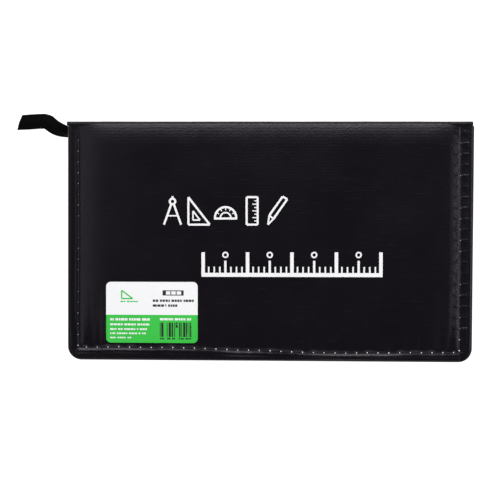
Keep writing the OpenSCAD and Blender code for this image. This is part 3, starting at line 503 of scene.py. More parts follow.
def spine_section():
    """Closed outline of the strip: round the upper bead, down outside, round the lower, up inside."""
    start = math.acos(SPINE_IN / BEAD_R)
    upper = spread(2 * math.pi - start, 0, 22)
    lower = spread(0, start - 2 * math.pi, 22)
    outline = [(FOLD_Y + BEAD_R * math.cos(a), FOLDS[1] + BEAD_R * math.sin(a)) for a in upper]
    for z in spread(FOLDS[1], FOLDS[0], 16)[1:-1]:
        crease = hump(z - FOLDS[1] + 2.2, 0.7) + hump(z - FOLDS[0] - 2.2, 0.7)
        outline.append((FOLD_Y + BEAD_R - 0.22 * crease, z))
    outline += [(FOLD_Y + BEAD_R * math.cos(a), FOLDS[0] + BEAD_R * math.sin(a)) for a in lower]
    return outline + [(FOLD_Y + SPINE_IN, z) for z in (8, 12, 16, 20, 24)]


def closed_strip(name, section, stations, place, degrees=60):
    """A closed outline drawn out along its stations, with its seam merged and its ends filled."""
    count = len(section)
    strip = lay_sheet(name, len(stations) - 1, count, lambda i, j: place(stations[i], section[j % count]))
    edit_mesh(lambda: bpy.ops.mesh.remove_doubles(threshold=0.000001),
              lambda: bpy.ops.mesh.select_mode(type="EDGE"),
              lambda: bpy.ops.mesh.select_all(action="DESELECT"),
              lambda: bpy.ops.mesh.select_non_manifold(extend=False, use_wire=False, use_multi_face=False,
                                                       use_non_contiguous=False, use_verts=False),
              bpy.ops.mesh.edge_face_add, select="SELECT")
    smooth_off(strip, degrees)
    return strip


def spine_place(x, point):
    y, z = point
    wave = 0.07 * ripple(x / 18, z / 9, 2.2) + 0.04 * ripple(x / 5, z / 4, 6.0)
    outer = smooth(FOLD_Y, FOLD_Y + 1.2, y)
    flare = 1 + 0.004 * smooth(20, 29, z)
    return x * flare, y + (wave - 0.05) * outer, z + wave * 0.5 * smooth(FOLDS[1], FOLDS[1] + 1, z)


def spine_end(name, side):
    """The leather tucked in over the board at one end of the spine, as a flat rounded fold."""
    outline = [(side * (HALF_W - inward), FOLD_Y + y) for inward, y in (
        (1.95, -0.85), (0.65, -0.85), (0.27, -0.65), (0.15, -0.2), (0.15, 0.5), (0.25, 1.0), (1.95, 1.0))]
    return closed_strip(name, outline, spread(FOLDS[0] + 1.7, FOLDS[1] - 1.7, 30), lambda z, p: (
        p[0] + side * 0.08 * ripple(z / 5, side, 3.0) * (abs(p[0]) > HALF_W - 1.5), p[1], z))


spine_leather = closed_strip("spine_leather", spine_section(), spread(-HALF_W, HALF_W, 120), spine_place)
join_in(spine_leather, black_leather, "spine", "leather", "spine_skin")
for side, name in ((-1, "spine_end_left"), (1, "spine_end_right")):
    join_in(spine_end(name, side), black_leather, "spine", "leather")

# ---- Stitches of the two covers
# Black thread in lock stitches 7 mm long, drawn down into the seam's groove. At each needle hole
# the pale under-thread is pulled up and shows as a small bright knot, partly a painted highlight.
STITCH_LIFT = 0.14


def seam_stitches(face):
    """Needle holes of a cover's seam: (x, y, heading of the stitch that follows, in radians)."""
    def down_side(name, side, y):
        holes = []
        while y > MOUTH + seam_in("mouth", side * (HALF_W - 8), face) + 1.0:
            holes.append((side * (HALF_W - seam_in(name, y, face)), y, -math.pi / 2))
            y -= STITCH
        return holes

    last = math.floor((HALF_W - 8.5) / STITCH)
    places = [i * STITCH for i in range(-last, last + 1)]
    return (down_side("left", -1, LEFT_HOLE) + [(x, MOUTH + seam_in("mouth", x, face), 0.0) for x in places]
            + down_side("right", 1, RIGHT_HOLE))


def seat(x, y, lift, face=0):
    """A place on a cover's leather, in metres."""
    return Vector(on_cover(x, y, cover_height(x, y, face) + lift, face)) / 1000


def join_all(name, parts):
    bpy.ops.object.select_all(action="DESELECT")
    for part in parts:
        part.select_set(True)
    bpy.context.view_layer.objects.active = parts[0]
    bpy.ops.object.join()
    whole = bpy.context.object
    whole.name = whole.data.name = name
    return whole


def moved_copy(source, move):
    """A copy of a small mesh with every point moved."""
    copy = source.copy()
    copy.data = source.data.copy()
    bpy.context.collection.objects.link(copy)
    for v in copy.data.vertices:
        v.co = move(v.co)
    return copy


def sew(face, half):
    """The thread and the knots of one cover."""
    bpy.ops.mesh.primitive_uv_sphere_add(segments=8, ring_count=5, radius=0.00042)
    knot = bpy.context.object
    bpy.ops.mesh.primitive_cylinder_add(vertices=8, radius=0.00030, depth=1, end_fill_type="TRIFAN")
    thread = bpy.context.object
    threads, knots = [], []
    for n, (x, y, heading) in enumerate(seam_stitches(face)):
        size = 0.85 + 0.3 * abs(wobble(n, 31, 1.3))
        ahead_x, ahead_y = math.cos(heading), math.sin(heading)

        def draw_in(co):
            t = 0.5 + co.z
            run, bow = (0.12 + 0.76 * t) * STITCH, 0.1 * math.sin(math.pi * t)
            slim = 0.55 + 0.45 * math.sin(math.pi * (0.1 + 0.8 * t))
            return seat(x + ahead_x * run, y + ahead_y * run, STITCH_LIFT + bow, face) + Vector(
                (-ahead_y * co.x, ahead_x * co.x, co.y)) * slim

        threads.append(moved_copy(thread, draw_in))
        hole = seat(x, y, STITCH_LIFT, face)
        knots.append(moved_copy(knot, lambda co: hole + Vector((co.x, co.y, co.z * 0.7)) * size))
    made = []
    for source, parts, kind in ((thread, threads, "thread"), (knot, knots, "knots")):
        bpy.data.objects.remove(source)
        made.append(join_all(f"{half}_half_{kind}", parts))
        smooth_off(made[-1], 60)
    return made


def thread_finish(name, dark, light, rough, depth=0.0):
    """A twisted thread in two close tones, with its twist as a bump if a depth is given."""
    made, tree, skin, place = new_finish(name)
    twist = bands(tree, place, 900.0, "DIAGONAL", Distortion=1.0)
    paint(skin, twist, dark, light, rough, (twist, 0.5, depth) if depth else None)
    return made


black_thread = thread_finish("black_thread", (0.006, 0.006, 0.007), (0.014, 0.013, 0.016), 0.55, 0.0001)
pale_thread_and_glint, tree, skin, place = new_finish("pale_thread_and_glint")
side_knot_glint = math_node(tree, "MULTIPLY", remap(tree, speckle(tree, place, 90.0), 0.42, 0.62), 0.3)
# painted highlight: the knots along the mouth are painted full pale, those at the sides only here and there
lit_mouth_row = remap(tree, add_node(tree, "SeparateXYZ", {0: place}).outputs["Y"], -0.062, -0.066)
paint(skin, math_node(tree, "MAXIMUM", side_knot_glint, lit_mouth_row), (0.04, 0.038, 0.043), (0.88, 0.87, 0.90), 0.5)

for face, half in HALVES:
    for row, material in zip(sew(face, half), (black_thread, pale_thread_and_glint)):
        join_in(row, material, f"{half}_half", "leather")

# ---- Print on the front cover
# White screen print in a thin film on the leather: a row of five plain drawing-tool signs, and below
# it a graduated bar.
WHITE_LIFT = 0.03
LINE = 1.35


def ink_line(start, end, width, lift):
    """A printed line on the front cover between two places, in mm."""
    (x0, y0), (x1, y1) = start, end
    length = math.hypot(x1 - x0, y1 - y0)
    ux, uy = (x1 - x0) / length, (y1 - y0) / length
    cells = max(1, math.ceil(length / 4.0))

    def put(i, j):
        t, across = length * i / cells, width * (j - 0.5)
        return seat(x0 + ux * t - uy * across, y0 + uy * t + ux * across, lift) * 1000

    return lay_sheet("ink", cells, 1, put)


def ink_path(points, width, lift=WHITE_LIFT):
    return [ink_line(a, b, width, lift) for a, b in zip(points, points[1:])]


def ink_arc(cx, cy, radius, width, end):
    """A printed arc from 0 to end degrees."""
    cells = max(8, int(end / 12))

    def put(i, j):
        a, r = math.radians(end * i / cells), radius + width * (j - 0.5)
        return seat(cx + r * math.cos(a), cy + r * math.sin(a), WHITE_LIFT) * 1000

    return [lay_sheet("ink", cells, 1, put)]


def thicken(obj, thickness, offset=-1.0, even=True):
    """Gives a sheet its thickness; the sheet is its outer face unless the offset says otherwise."""
    bpy.context.view_layer.objects.active = obj
    wall = obj.modifiers.new("wall", "SOLIDIFY")
    wall.thickness = thickness / 1000
    wall.offset = offset
    wall.use_even_offset = even
    bpy.ops.object.modifier_apply(modifier=wall.name)


def tool_signs(x, y, pitch):
    """Compass, set square, protractor, rule and pencil, each drawn about its own middle."""
    parts = []

    def path(width, *points):
        parts.extend(ink_path([(x + a, y + b) for a, b in points], width))

    def arc(width, up, radius, end):
        parts.extend(ink_arc(x, y + up, radius, width, end))

    for side in (-1, 1):
        path(LINE, (side * 5.6, -9), (side * 0.6, 5))
    arc(LINE, 6.2, 1.8, 360)
    path(LINE, (0, 8), (0, 9.6))
    path(0.9, (-3.4, -3.2), (3.4, -3.2))
    x += pitch
    path(LINE, (-7, -9), (7, -9), (-7, 9), (-7, -9))
    path(1.0, (-4, -6), (0.6, -6), (-4, 0), (-4, -6))
    x += pitch
    arc(LINE, -4.5, 7.0, 180)
    arc(1.0, -4.5, 3.4, 180)
    path(LINE, (-7.6, -5), (7.6, -5))
    for a in (30, 60, 90, 120, 150):
        c, s = math.cos(math.radians(a)), math.sin(math.radians(a))
        path(0.7, (5.0 * c, 5.0 * s - 4.5), (6.6 * c, 6.6 * s - 4.5))
    x += pitch
    path(LINE, (-3.6, -9), (3.6, -9), (3.6, 9), (-3.6, 9), (-3.6, -9))
    for i in range(7):
        path(0.7, (3.4, -6.6 + i * 2.2), (0.2 if i % 2 else 1.4, -6.6 + i * 2.2))
    x += pitch
    path(LINE, (5.6, 7.6), (-3.4, -5.2))
    path(LINE, (2.6, 9.4), (-6.2, -3.0))
    path(1.1, (-6.2, -3.0), (-7.0, -9.0), (-3.4, -5.2), (-6.2, -3.0))
    path(LINE, (5.6, 7.6), (2.6, 9.4))
    return parts


def scale_bar(start, end, low, rings_y):
    """A bar with long, middle and short marks standing on it, and a small ring over each quarter."""
    parts = ink_path([(start, low + 1.3), (end, low + 1.3)], 2.6)
    first, last = start + 1.1, end - 1.1
    for i, at in enumerate(spread(first, last, 32)):
        tall, width = (16.0, 2.3) if i % 8 == 0 else (10.5, 1.5) if i % 4 == 0 else (6.6, 1.0)
        parts += ink_path([(at, low + 2.0), (at, low + tall)], width)
    for at in spread(first, last, 8)[1::2]:
        parts += ink_arc(at, rings_y, 1.6, 1.0, 360)
    return parts


def ink_finish(name, dark, light, scale, detail, rough):
    """Paper or ink, with clouds in its tone and in its gloss."""
    made, tree, skin, place = new_finish(name)
    paint(skin, speckle(tree, place, scale, detail), dark, light, rough)
    return made


white_ink = ink_finish("white_ink", (0.86, 0.86, 0.88), (0.93, 0.93, 0.94), 300.0, 3.0, (0.4, 0.2))
printed = join_all("cover_print", tool_signs(-64.0, 19.5, 17.4) + scale_bar(-45.0, 73.6, -23.6, -9.3))
thicken(printed, 0.05)
join_in(printed, white_ink, "front_half", "label")

# ---- Label
# A glossy paper sticker with round corners, white above and green below, pressed on to the cover
# by hand. Its print is plain: bars, dashes and stripes that say nothing.
sticker_low, sticker_high = (corner * 1000 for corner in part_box("label_sticker"))
STICKER_W, STICKER_H = sticker_high.x - sticker_low.x, sticker_high.y - sticker_low.y
GREEN_TOP = sticker_high.y - 0.54 * STICKER_H
LABEL_LIFT = 0.16


def sticker():
    """The label's sheet, cut round at its corners and laid on the leather; and which faces are green."""
    middle = (sticker_low + sticker_high) / 2
    bpy.ops.mesh.primitive_plane_add(size=1, location=(0, 0, 0))
    sheet = bpy.context.object
    for v in sheet.data.vertices:
        v.co = Vector((middle.x + v.co.x * STICKER_W, middle.y + v.co.y * STICKER_H, 0))
    edit_mesh(lambda: bpy.ops.mesh.bevel(offset=3.1, offset_type="OFFSET", segments=7, affect="VERTICES"),
              select="SELECT")
    cuts = [((x, 0, 0), (1, 0, 0)) for x in spread(sticker_low.x, sticker_high.x, 24)[1:-1]]
    cuts += [((0, y, 0), (0, 1, 0)) for y in spread(sticker_low.y, sticker_high.y, 16)[1:-1] + [GREEN_TOP]]
    for place, across in cuts:
        edit_mesh(lambda: bpy.ops.mesh.bisect(plane_co=place, plane_no=across), select="SELECT")
    green = [face.center.y < GREEN_TOP for face in sheet.data.polygons]
    for v in sheet.data.vertices:
        v.co = seat(v.co.x, v.co.y, LABEL_LIFT)
    sheet.name = sheet.data.name = "label"
    return sheet, green


def on_label(x, down):
    """A place on the label: mm from its left edge and down from its top edge."""
    return sticker_low.x + x, sticker_high.y - down


def label_path(width, *places):
    return ink_path([on_label(*place) for place in places], width, LABEL_LIFT + 0.02)


def dashes(start, end, down, height, seed):
    """A row of short blocks, like words seen from too far off to read."""
    parts, x, n = [], start, 0
    while x < end - 0.8:
        wide = 0.9 + 1.5 * abs(wobble(n, seed, 1.9))
        parts += label_path(height, (x, down), (min(x + wide, end), down))
        x += wide + (0.35 if (n + seed) % 4 else 1.1)
        n += 1
    return parts


def bars(x, end):
    """Upright bars of three widths, no readable code."""
    parts, n = [], 0
    while x < end:
        wide = 0.45 + 0.5 * ((n * 5) % 3)
        parts += label_path(wide, (x + wide / 2, 26.6), (x + wide / 2, 36.0))
        x += wide + 0.45 + 0.35 * ((n * 7) % 2)
        n += 1
    return parts


def label_marks():
    """The label's dark, green and white print, one list of parts for each."""
    dark = []
    for x0, x1, down, height in ((37, 38.6, 7.2, 3.4), (49.2, 50.8, 7.2, 3.4), (38.6, 49.2, 5.8, 0.6),
                                 (38.6, 49.2, 8.6, 0.6), (38.6, 39.2, 7.2, 2.6), (42.1, 42.7, 7.2, 2.6),
                                 (45.6, 46.2, 7.2, 2.6)):
        dark += label_path(height, (x0, down), (x1, down))
    dark += dashes(30.6, 57.6, 12.3, 1.5, 3) + dashes(30.6, 46.6, 15.5, 1.5, 5)
    dark += bars(35.2, 55.6) + dashes(35.2, 55.6, 37.2, 0.9, 9)
    green = label_path(0.9, (10.2, 11), (17.4, 11), (10.2, 5.6), (10.2, 11)) + dashes(9.4, 20.8, 12.9, 0.9, 7)
    white = []
    for start, end, down, height, seed in ((2.6, 29.6, 24.6, 1.5, 11), (2.6, 29.6, 27.9, 1.2, 13),
                                           (2.6, 27.8, 31.0, 1.1, 17), (2.6, 27.0, 33.8, 1.0, 19),
                                           (2.6, 16.4, 36.6, 0.9, 23), (35.2, 55.6, 24.4, 1.4, 29)):
        white += dashes(start, end, down, height, seed)
    return dark, green, white


gloss_paper = ink_finish("gloss_paper", (0.90, 0.90, 0.92), (0.95, 0.95, 0.96), 500.0, 3.0, (0.3, 0.1))
green_ink = ink_finish("green_ink", (0.030, 0.50, 0.050), (0.050, 0.62, 0.075), 40.0, 2.0, (0.3, 0.1))
dark_ink = ink_finish("dark_ink", (0.008, 0.010, 0.009), (0.03, 0.035, 0.03), 900.0, 2.0, 0.4)

label, green_part = sticker()
join_in(label, gloss_paper, "front_half", "label", "label_sticker")
label.data.materials.append(green_ink)
label.data.polygons.foreach_set("material_index", [int(green) for green in green_part])
thicken(label, 0.12)
for name, parts, ink in zip(("label_dark_print", "label_green_print", "label_white_print"), label_marks(),
                            (dark_ink, green_ink, white_ink)):
    marks = join_all(name, parts)
    thicken(marks, 0.015)
    join_in(marks, ink, "front_half", "label")

# ---- The zipper's tail
# The surplus end of the closed chain: two woven tapes side by side with the coil between them, left
# long past the spine, turned flat, creased at its bend and cut off aslant.
TAIL_START = Vector((-128.7, 67.2, 15.8, 0))
TAIL_PATH = ((0, 0.3, 0, 90), (0, 1.3, 0, 90), (1, 2.8, -0.2, 80), (4, 4.2, -0.7, 60), (8.5, 5.8, -1.3, 38),
             (12.5, 7.2, -1.8, 24), (16, 9.2, -2.2, 14), (19.2, 11.8, -2.4, 4), (21.2, 12.8, -3.2, -6),
             (25, 13.0, -4.8, -2), (31, 12.7, -6, 3), (39.4, 12.3, -7, 4))
TAIL_W, TAIL_SKEW = 10.1, 4.2


def tail_route():
    """The route (out to the left, back, up, roll in degrees) rounded to 89 stations."""
    rows = [TAIL_START + Vector((-out, back, up, roll)) for out, back, up, roll in TAIL_PATH]
    rows = [rows[0] * 2 - rows[1]] + rows + [rows[-1] * 2 - rows[-2]]
    route = []
    for i in range(1, len(rows) - 2):
        a, b, c, d = rows[i - 1:i + 3]
        for t in spread(0, 1, 8)[:-1]:
            route.append(0.5 * (2 * b + (c - a) * t + (2 * a - 5 * b + 4 * c - d) * t * t
                                + (3 * b - a - 3 * c + d) * t ** 3))
    return route + [rows[-2]]


def both_ways(half, *middle):
    """One side of an outline, its middle, and the same side mirrored."""
    return half + list(middle) + [(-x, z) for x, z in reversed(half)]


def tail_outline():
    """Section of the tail: (across, up) round both tapes, selvedges and the coil's ridge."""
    half = TAIL_W / 2
    top = [(-half, 0.30), (-half + 0.25, 0.62), (-half + 0.9, 0.74), (-2.6, 1.25), (-1.5, 1.72),
           (-0.75, 2.0), (-0.35, 2.18)]
    under = [(half - 0.3, 0.0), (2.6, 0.55), (1.2, 0.98), (0.7, 0.6)]
    return both_ways(top, (0, 2.04)) + both_ways(under, (0, 0.5))


route = tail_route()


def tail_place(n, point):
    last = len(route) - 1
    ahead = (route[min(n + 1, last)].xyz - route[max(n - 1, 0)].xyz).normalized()
    level = Vector((-ahead.y, ahead.x, 0)).normalized()
    over = ahead.cross(level)
    roll = math.radians(route[n][3])
    across = level * math.cos(roll) - over * math.sin(roll)
    up = over * math.cos(roll) + level * math.sin(roll)
    x, z = point
    z += 0.10 * ripple(n / 9, x / 3, 4.0) - 1.0
    if abs(x) < 0.5 and point[1] > 1:
        z += 0.07 * math.sin(n * 2.1)
    x += 0.12 * ripple(n / 6, 9.0, (x > 0) * 4.0)
    skew = smooth(last - 15, last, n) * TAIL_SKEW / TAIL_W
    return route[n].xyz + across * x + up * z + ahead * x * skew


def woven_cloth():
    """Group: threads over and under in two directions, for bump height, with lint and a slow tone."""
    group, given = node_group("woven_cloth", {"Vector": None, "Threads": 1400.0}, ("Height", "Tone", "Lint"))
    place, h = given["Vector"], 0.0
    for flip in ((1, 1, 1), (1, -1, 1), (1, 1, -1)):
        turned = add_node(group, "Mapping", {"Vector": place, "Scale": flip}).outputs[0]
        yarn = bands(group, turned, given["Threads"], "DIAGONAL", Distortion=0.25, Detail=1.0)
        h = math_node(group, "MAXIMUM", yarn, h)
    lint = speckle(group, place, 1800.0, 4.0)
    h = math_node(group, "MULTIPLY_ADD", lint, 0.25, h)
    add_node(group, "NodeGroupOutput", {"Height": h, "Tone": speckle(group, place, 35.0), "Lint": lint})
    return group


WEAVE = woven_cloth()


def cloth_finish(name, dark, light, threads, rough, depth, sheen=0.3, shine=0.3):
    """A woven material in two close tones."""
    made, tree, skin, place = new_finish(name)
    weave = add_node(tree, "Group", {"Vector": place, "Threads": threads}, node_tree=WEAVE).outputs
    slow = math_node(tree, "MULTIPLY", weave["Tone"], 0.6)
    tone = math_node(tree, "MULTIPLY_ADD", weave["Height"], 0.4, slow)
    paint(skin, tone, dark, light, math_node(tree, "MULTIPLY_ADD", weave["Lint"], 0.15, rough - 0.07),
          (weave["Height"], 0.6, depth), **{"Sheen Weight": sheen, "Sheen Roughness": 0.4,
                                            "Sheen Tint": (*light, 1), "Specular IOR Level": shine})
    return made


zipper_tape = cloth_finish("zipper_tape", (0.0005, 0.0005, 0.0006), (0.0022, 0.0022, 0.0025), 700.0, 0.7,
                           0.0001, 0.0, 0.05)
zipper_tail = closed_strip("zipper_tail_tape", tail_outline(), range(len(route)), tail_place, 38)
join_in(zipper_tail, zipper_tape, "back_half", "zipper_tape", "zipper_tail")

# ---- Zipper tapes inside the covers
# Woven black tape, sewn in flat under the lining and turned up at the cover's edge, where its free
# edge carries the coil. It stands a little wavy between the teeth and the seam.
TAPE_IN = 6.35
TAPE_TURN = 14.0
CORNER_X, CORNER_Y = HALF_W - TAPE_TURN, MOUTH + TAPE_TURN


def u_route(left_top, right_top, step):
    """Route round the three open sides: (x, y, out x, out y) on the lines of the corners' centres."""
    def walk(start, end):
        return spread(start, end, int(abs(end - start) / step))

    corner = spread(0, math.pi / 2, 9)[:-1]
    route = [(-CORNER_X, y, -1, 0) for y in walk(left_top, CORNER_Y)[:-1]]
    route += [(-CORNER_X, CORNER_Y, -math.cos(a), -math.sin(a)) for a in corner]
    route += [(x, CORNER_Y, 0, -1) for x in walk(-CORNER_X, CORNER_X)[:-1]]
    route += [(CORNER_X, CORNER_Y, math.sin(a), -math.cos(a)) for a in corner]
    return route + [(CORNER_X, y, 1, 0) for y in walk(CORNER_Y, right_top)]


def fabric(name, wide, deep, put, degrees, thickness, even=True):
    """A smoothed sheet with half its thickness on either side."""
    sheet = lay_sheet(name, wide, deep, put)
    smooth_off(sheet, degrees)
    thicken(sheet, thickness, 0.0, even)
    return sheet


def in_half(x, y, z, face):
    """A place inside the case, z mm up from the back cover or down from the front one."""
    return x, y, z if face else COVER_TOP - z


def sewn_tape(name, face):
    """face 0 is the front cover's tape and 1 the back one's."""
    route = u_route(67.1, 74.6, 1.6)
    section = [(10.4, 5.55), (8.6, 5.55), (7.2, 5.56), (6.65, 5.66), (6.4, 5.95)]
    section += [(TAPE_IN, z) for z in (6.5, 7.6, 9.0, 10.6, 12.2, 13.6, 14.5)]

    def put(i, j):
        x, y, out_x, out_y = route[i]
        inset, z = section[j]
        free = smooth(5.8, 9.5, z) * (1 - 0.7 * smooth(11.5, 13.5, z))
        reach = TAPE_TURN - inset - 0.16 * free * ripple(i / 7, z / 9, 3.0 + face)
        return in_half(x + out_x * reach, y + out_y * reach, z, face)

    return fabric(name, len(route) - 1, len(section) - 1, put, 70, 0.55)


sewn_cloth = cloth_finish("sewn_tape_cloth", (0.0035, 0.0035, 0.0039), (0.012, 0.012, 0.013), 700.0, 0.7,
                          0.0001, 0.1, 0.12)
for face, half in HALVES:
    tape = sewn_tape(f"{half}_half_zipper_tape", face)
    join_in(tape, sewn_cloth, f"{half}_half", "zipper_tape", f"{half}_tape")

# ---- Linings
# Thin black woven cloth glued to the boards. Round the edge it steps up over the tape's sewn hem and
# stops just short of the tape that stands there.
LINING_OUTS = [0.0, 0.8, 1.5, 2.0, 2.3, 2.6, 2.9, 3.2, 3.6, 4.4, 5.4, 6.4, 7.15]
LINING_END = 75.0
LINING_Z, LINING_RISE = 4.78, 1.58


def lining_sheet(name, face):
    def lift(x, y, ring, last):
        out = LINING_OUTS[ring]
        z = LINING_Z + LINING_RISE * smooth(2.0, 3.3, out) - 0.12 * hump(out - 1.4, 0.5)
        return in_half(x, y, z - 0.05 * abs(ripple(x / 17, y / 13, 2.0 + face)), face)

    sheet = lay_rounded(name, LINING_OUTS, spread(-CORNER_X, CORNER_X, 80), spread(CORNER_Y, LINING_END, 50),
                        CORNER_X, CORNER_Y, lift)[0]
    smooth_off(sheet, 60)
    if (sheet.data.polygons[len(sheet.data.polygons) // 2].normal.z > 0) != bool(face):
        edit_mesh(bpy.ops.mesh.flip_normals, select="SELECT")
    thicken(sheet, 0.42)
    return sheet


lining_cloth = cloth_finish("lining_cloth", (0.010, 0.010, 0.012), (0.034, 0.034, 0.038), 900.0, 0.86,
                            0.00004, 0.1, 0.1)
for face, half in HALVES:
    sheet = lining_sheet(f"{half}_half_lining", face)
    join_in(sheet, lining_cloth, f"{half}_half", "lining", f"{half}_lining")

# ---- Spine lining and the slack folds beside it
# The same cloth on the spine's board. At each fold it is left slack, so that it stands in a small
# pleat while the case is shut.
SPINE_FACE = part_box("spine_lining")[0].y * 1000 + 0.05
FOLD_END_X = 130.6
SPINE_CLOTH_H = 21.6
PLEAT_X = FOLD_END_X - 4.6


def spine_sheet():
    def put(i, j):
        x, z = -FOLD_END_X + 2 * FOLD_END_X * i / 90, 5.0 + SPINE_CLOTH_H * j / 14
        return x, SPINE_FACE + 0.04 * ripple(x / 21, z / 8, 1.0), z

    return fabric("spine_lining_cloth", 90, 14, put, 50, 0.35)


def pleat(name, face):
    """The slack, from the cover's lining up into a small roll and on to the spine's."""
    route = [(73.6, 4.95), (74.4, 4.97), (74.9, 5.15), (75.0, 5.6), (75.05, 6.1), (75.25, 6.45),
             (75.55, 6.45), (75.72, 6.1), (75.76, 5.6), (75.8, 5.25), (75.86, 5.7), (75.86, 6.6)]

    def put(i, j):
        x = -PLEAT_X + 2 * PLEAT_X * i / 100
        y, z = route[j]
        loose = smooth(5.2, 6.3, z)
        return in_half(x, y + 0.10 * loose * ripple(x / 12, 2.0 + face, 0.0),
                       z + 0.18 * loose * ripple(x / 9, 5.0 + face, 1.0), face)

    return fabric(name, 100, len(route) - 1, put, 80, 0.12)


spine_cloth = spine_sheet()
join_in(spine_cloth, lining_cloth, "spine", "lining", "spine_lining")
for face, half in reversed(HALVES):
    cloth = pleat(f"{half}_half_pleat", face)
    coat(cloth, lining_cloth)
    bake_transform(cloth)

# ---- Elastic loops
# Ribbed black elastic, 22 mm wide, sewn down between its loops with bar tacks; each loop takes one
# instrument of the set and keeps its round shape.
STRAP_W, STRAP_T, LINING_TOP = 22.0, 0.9, 4.8
STRAP_X = 60.0
TACK_L = 0.0021


def loop_route(y0, y1, loops):
    """Middle line of an elastic in the YZ plane. Each loop is (y, half width, height, corner radius)."""
    foot = LINING_TOP + STRAP_T / 2
    line = [(y0, foot)]
    for y, half, height, radius in loops:
        half, top = half + 0.8, LINING_TOP + height + 0.9
        radius = min(radius + 0.8, half)
        rise = [(-half - 0.9, foot), (-half - 0.35, foot + 0.1), (-half - 0.05, foot + 0.5)]
        rise += [(-half, z) for z in (foot + 1.2, (foot + top - radius) / 2, top - radius)
                 if foot + 1.0 < z <= top - radius + 0.01]
        rise += [(-half + radius - radius * math.cos(a), top - radius + radius * math.sin(a))
                 for a in spread(0, math.pi / 2, 6)[1:]]
        flat = 2 * (half - radius)
        roof = [(flat * (t - 0.5), top) for t in (0.33, 0.66)] if flat > 0.5 else []
        line += [(y + a, z) for a, z in both_ways(rise, *roof)]
    even = line[:1]
    for point in line[1:] + [(y1, foot)]:
        gap = math.dist(even[-1], point)
        if gap > 0.15:
            (a, b), (y, z), count = even[-1], point, max(1, round(gap / 1.6))
            even += [(a + (y - a) * n / count, b + (z - b) * n / count) for n in range(1, count + 1)]
    return even


def elastic(name, x, y0, y1, loops):
    route = loop_route(y0, y1, loops)

    def put(i, j):
        y, z = route[j]
        across = i / 22 - 0.5
        sway = 0.08 * ripple(j / 9, x, across * 2)
        return x + across * (STRAP_W - 0.25) + sway, y, z - 0.06 * (abs(across) > 0.47)

    return fabric(name, 22, len(route) - 1, put, 70, 0.78, even=False)


def thread_rod(radius, length):
    """A short stitch along X, for copying."""
    bpy.ops.mesh.primitive_cylinder_add(vertices=6, radius=radius, depth=length, rotation=(0, math.pi / 2, 0),
                                        location=(0, 0, 0), end_fill_type="TRIFAN")
    bpy.ops.object.transform_apply(location=True, rotation=True, scale=True)
    return bpy.context.object


def bar_tacks(places):
    """Two short rows of close stitches across the elastic at each place where it is sewn down."""
    stitch, made = thread_rod(0.0002, TACK_L), []

    def bow(co):
        t = co.x / (TACK_L / 2)
        return co + at + Vector((0, 0.0002 * t, 0.00012 * (1 - t ** 2)))

    for x, y in places:
        for row in (-0.45, 0.45):
            for n in range(8):
                at = Vector((x - 8.6 + n * 2.46, y + row, LINING_TOP + STRAP_T)) / 1000
                made.append(moved_copy(stitch, bow))
    bpy.data.objects.remove(stitch)
    tacks = join_all("bar_tacks", made)
    smooth_off(tacks, 60)
    return tacks


elastic_cloth, tree, skin, place = new_finish("elastic_cloth")
ribs = bands(tree, place, 250.0, "X", Distortion=0.3)
weave = add_node(tree, "Group", {"Vector": place, "Threads": 900.0}, node_tree=WEAVE).outputs
h = math_node(tree, "MULTIPLY_ADD", weave["Height"], 0.35, ribs)
paint(skin, math_node(tree, "MULTIPLY", h, 0.7), (0.006, 0.006, 0.007), (0.030, 0.030, 0.034),
      math_node(tree, "MULTIPLY_ADD", weave["Lint"], 0.15, 0.58), (h, 0.7, 0.00022), **{"Sheen Weight": 0.15})

right_loops = [(-50.0, 3.5, 7.0, 3.5), (-33.0, 4.0, 8.0, 4.0), (-19.0, 3.6, 7.2, 3.6), (22.0, 9.7, 9.1, 2.0),
               (62.0, 4.0, 8.0, 4.0)]
left_low = [(-50.0, 7.8, 9.6, 0.5), (-33.0, 3.6, 7.2, 3.6), (-19.0, 3.6, 7.2, 3.6)]
right_band = elastic("right_elastic", STRAP_X, -61.8, 70.8, right_loops)
join_in(right_band, elastic_cloth, "back_half", "elastic", "strap_right")
left_high = [(62.0, 4.2, 8.4, 4.2)]
left_band = join_all("left_elastic", [elastic("band", -STRAP_X, -61.8, -12.2, left_low),
                                      elastic("band", -STRAP_X, 53.2, 70.8, left_high)])
join_in(left_band, elastic_cloth, "back_half", "elastic", "strap_left")
tacks = bar_tacks([(STRAP_X, y) for y in (-58.3, -41.9, -26.3, -9.5, 6.0, 38.0, 51.0, 69.0)]
                  + [(-STRAP_X, y) for y in (-60.2, -40.3, -26.1, -13.6, 55.0, 69.0)])
join_in(tacks, black_thread, "back_half", "elastic")

# ---- Lid pocket
# A clear vinyl sheet sewn on three sides through a folded cloth band to the lid's lining; it opens
# towards the spine and holds the flat instruments. The vinyl hangs a little slack between its seams.
pocket_low, pocket_high = (corner * 1000 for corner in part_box("pocket_sheet"))
POCKET_X, POCKET_Y0, POCKET_Y1, SHEET_TOP = pocket_high.x, pocket_low.y, pocket_high.y, pocket_high.z
BAND_MIDDLE, BAND_STITCH = 2.5, 3.4
CLEAR = {"Transmission Weight": 1.0}


def vinyl():
    def put(i, j):
        x = -POCKET_X + 0.4 + 2 * (POCKET_X - 0.4) * i / 90
        y = POCKET_Y0 + 0.4 + (POCKET_Y1 - POCKET_Y0 - 0.4) * j / 46
        free = smooth(0, 26, POCKET_X - 5 - abs(x)) * smooth(0, 26, y - POCKET_Y0 - 5)
        sag = 0.55 * (0.6 + 0.8 * ripple(x / 46, y / 34, 7.0)) + 0.16 * ripple(x / 15, y / 22, 4.0)
        return x, y, SHEET_TOP - 0.15 - max(sag * free, 0.0)

    return fabric("pocket_vinyl", 90, 46, put, 50, 0.22)


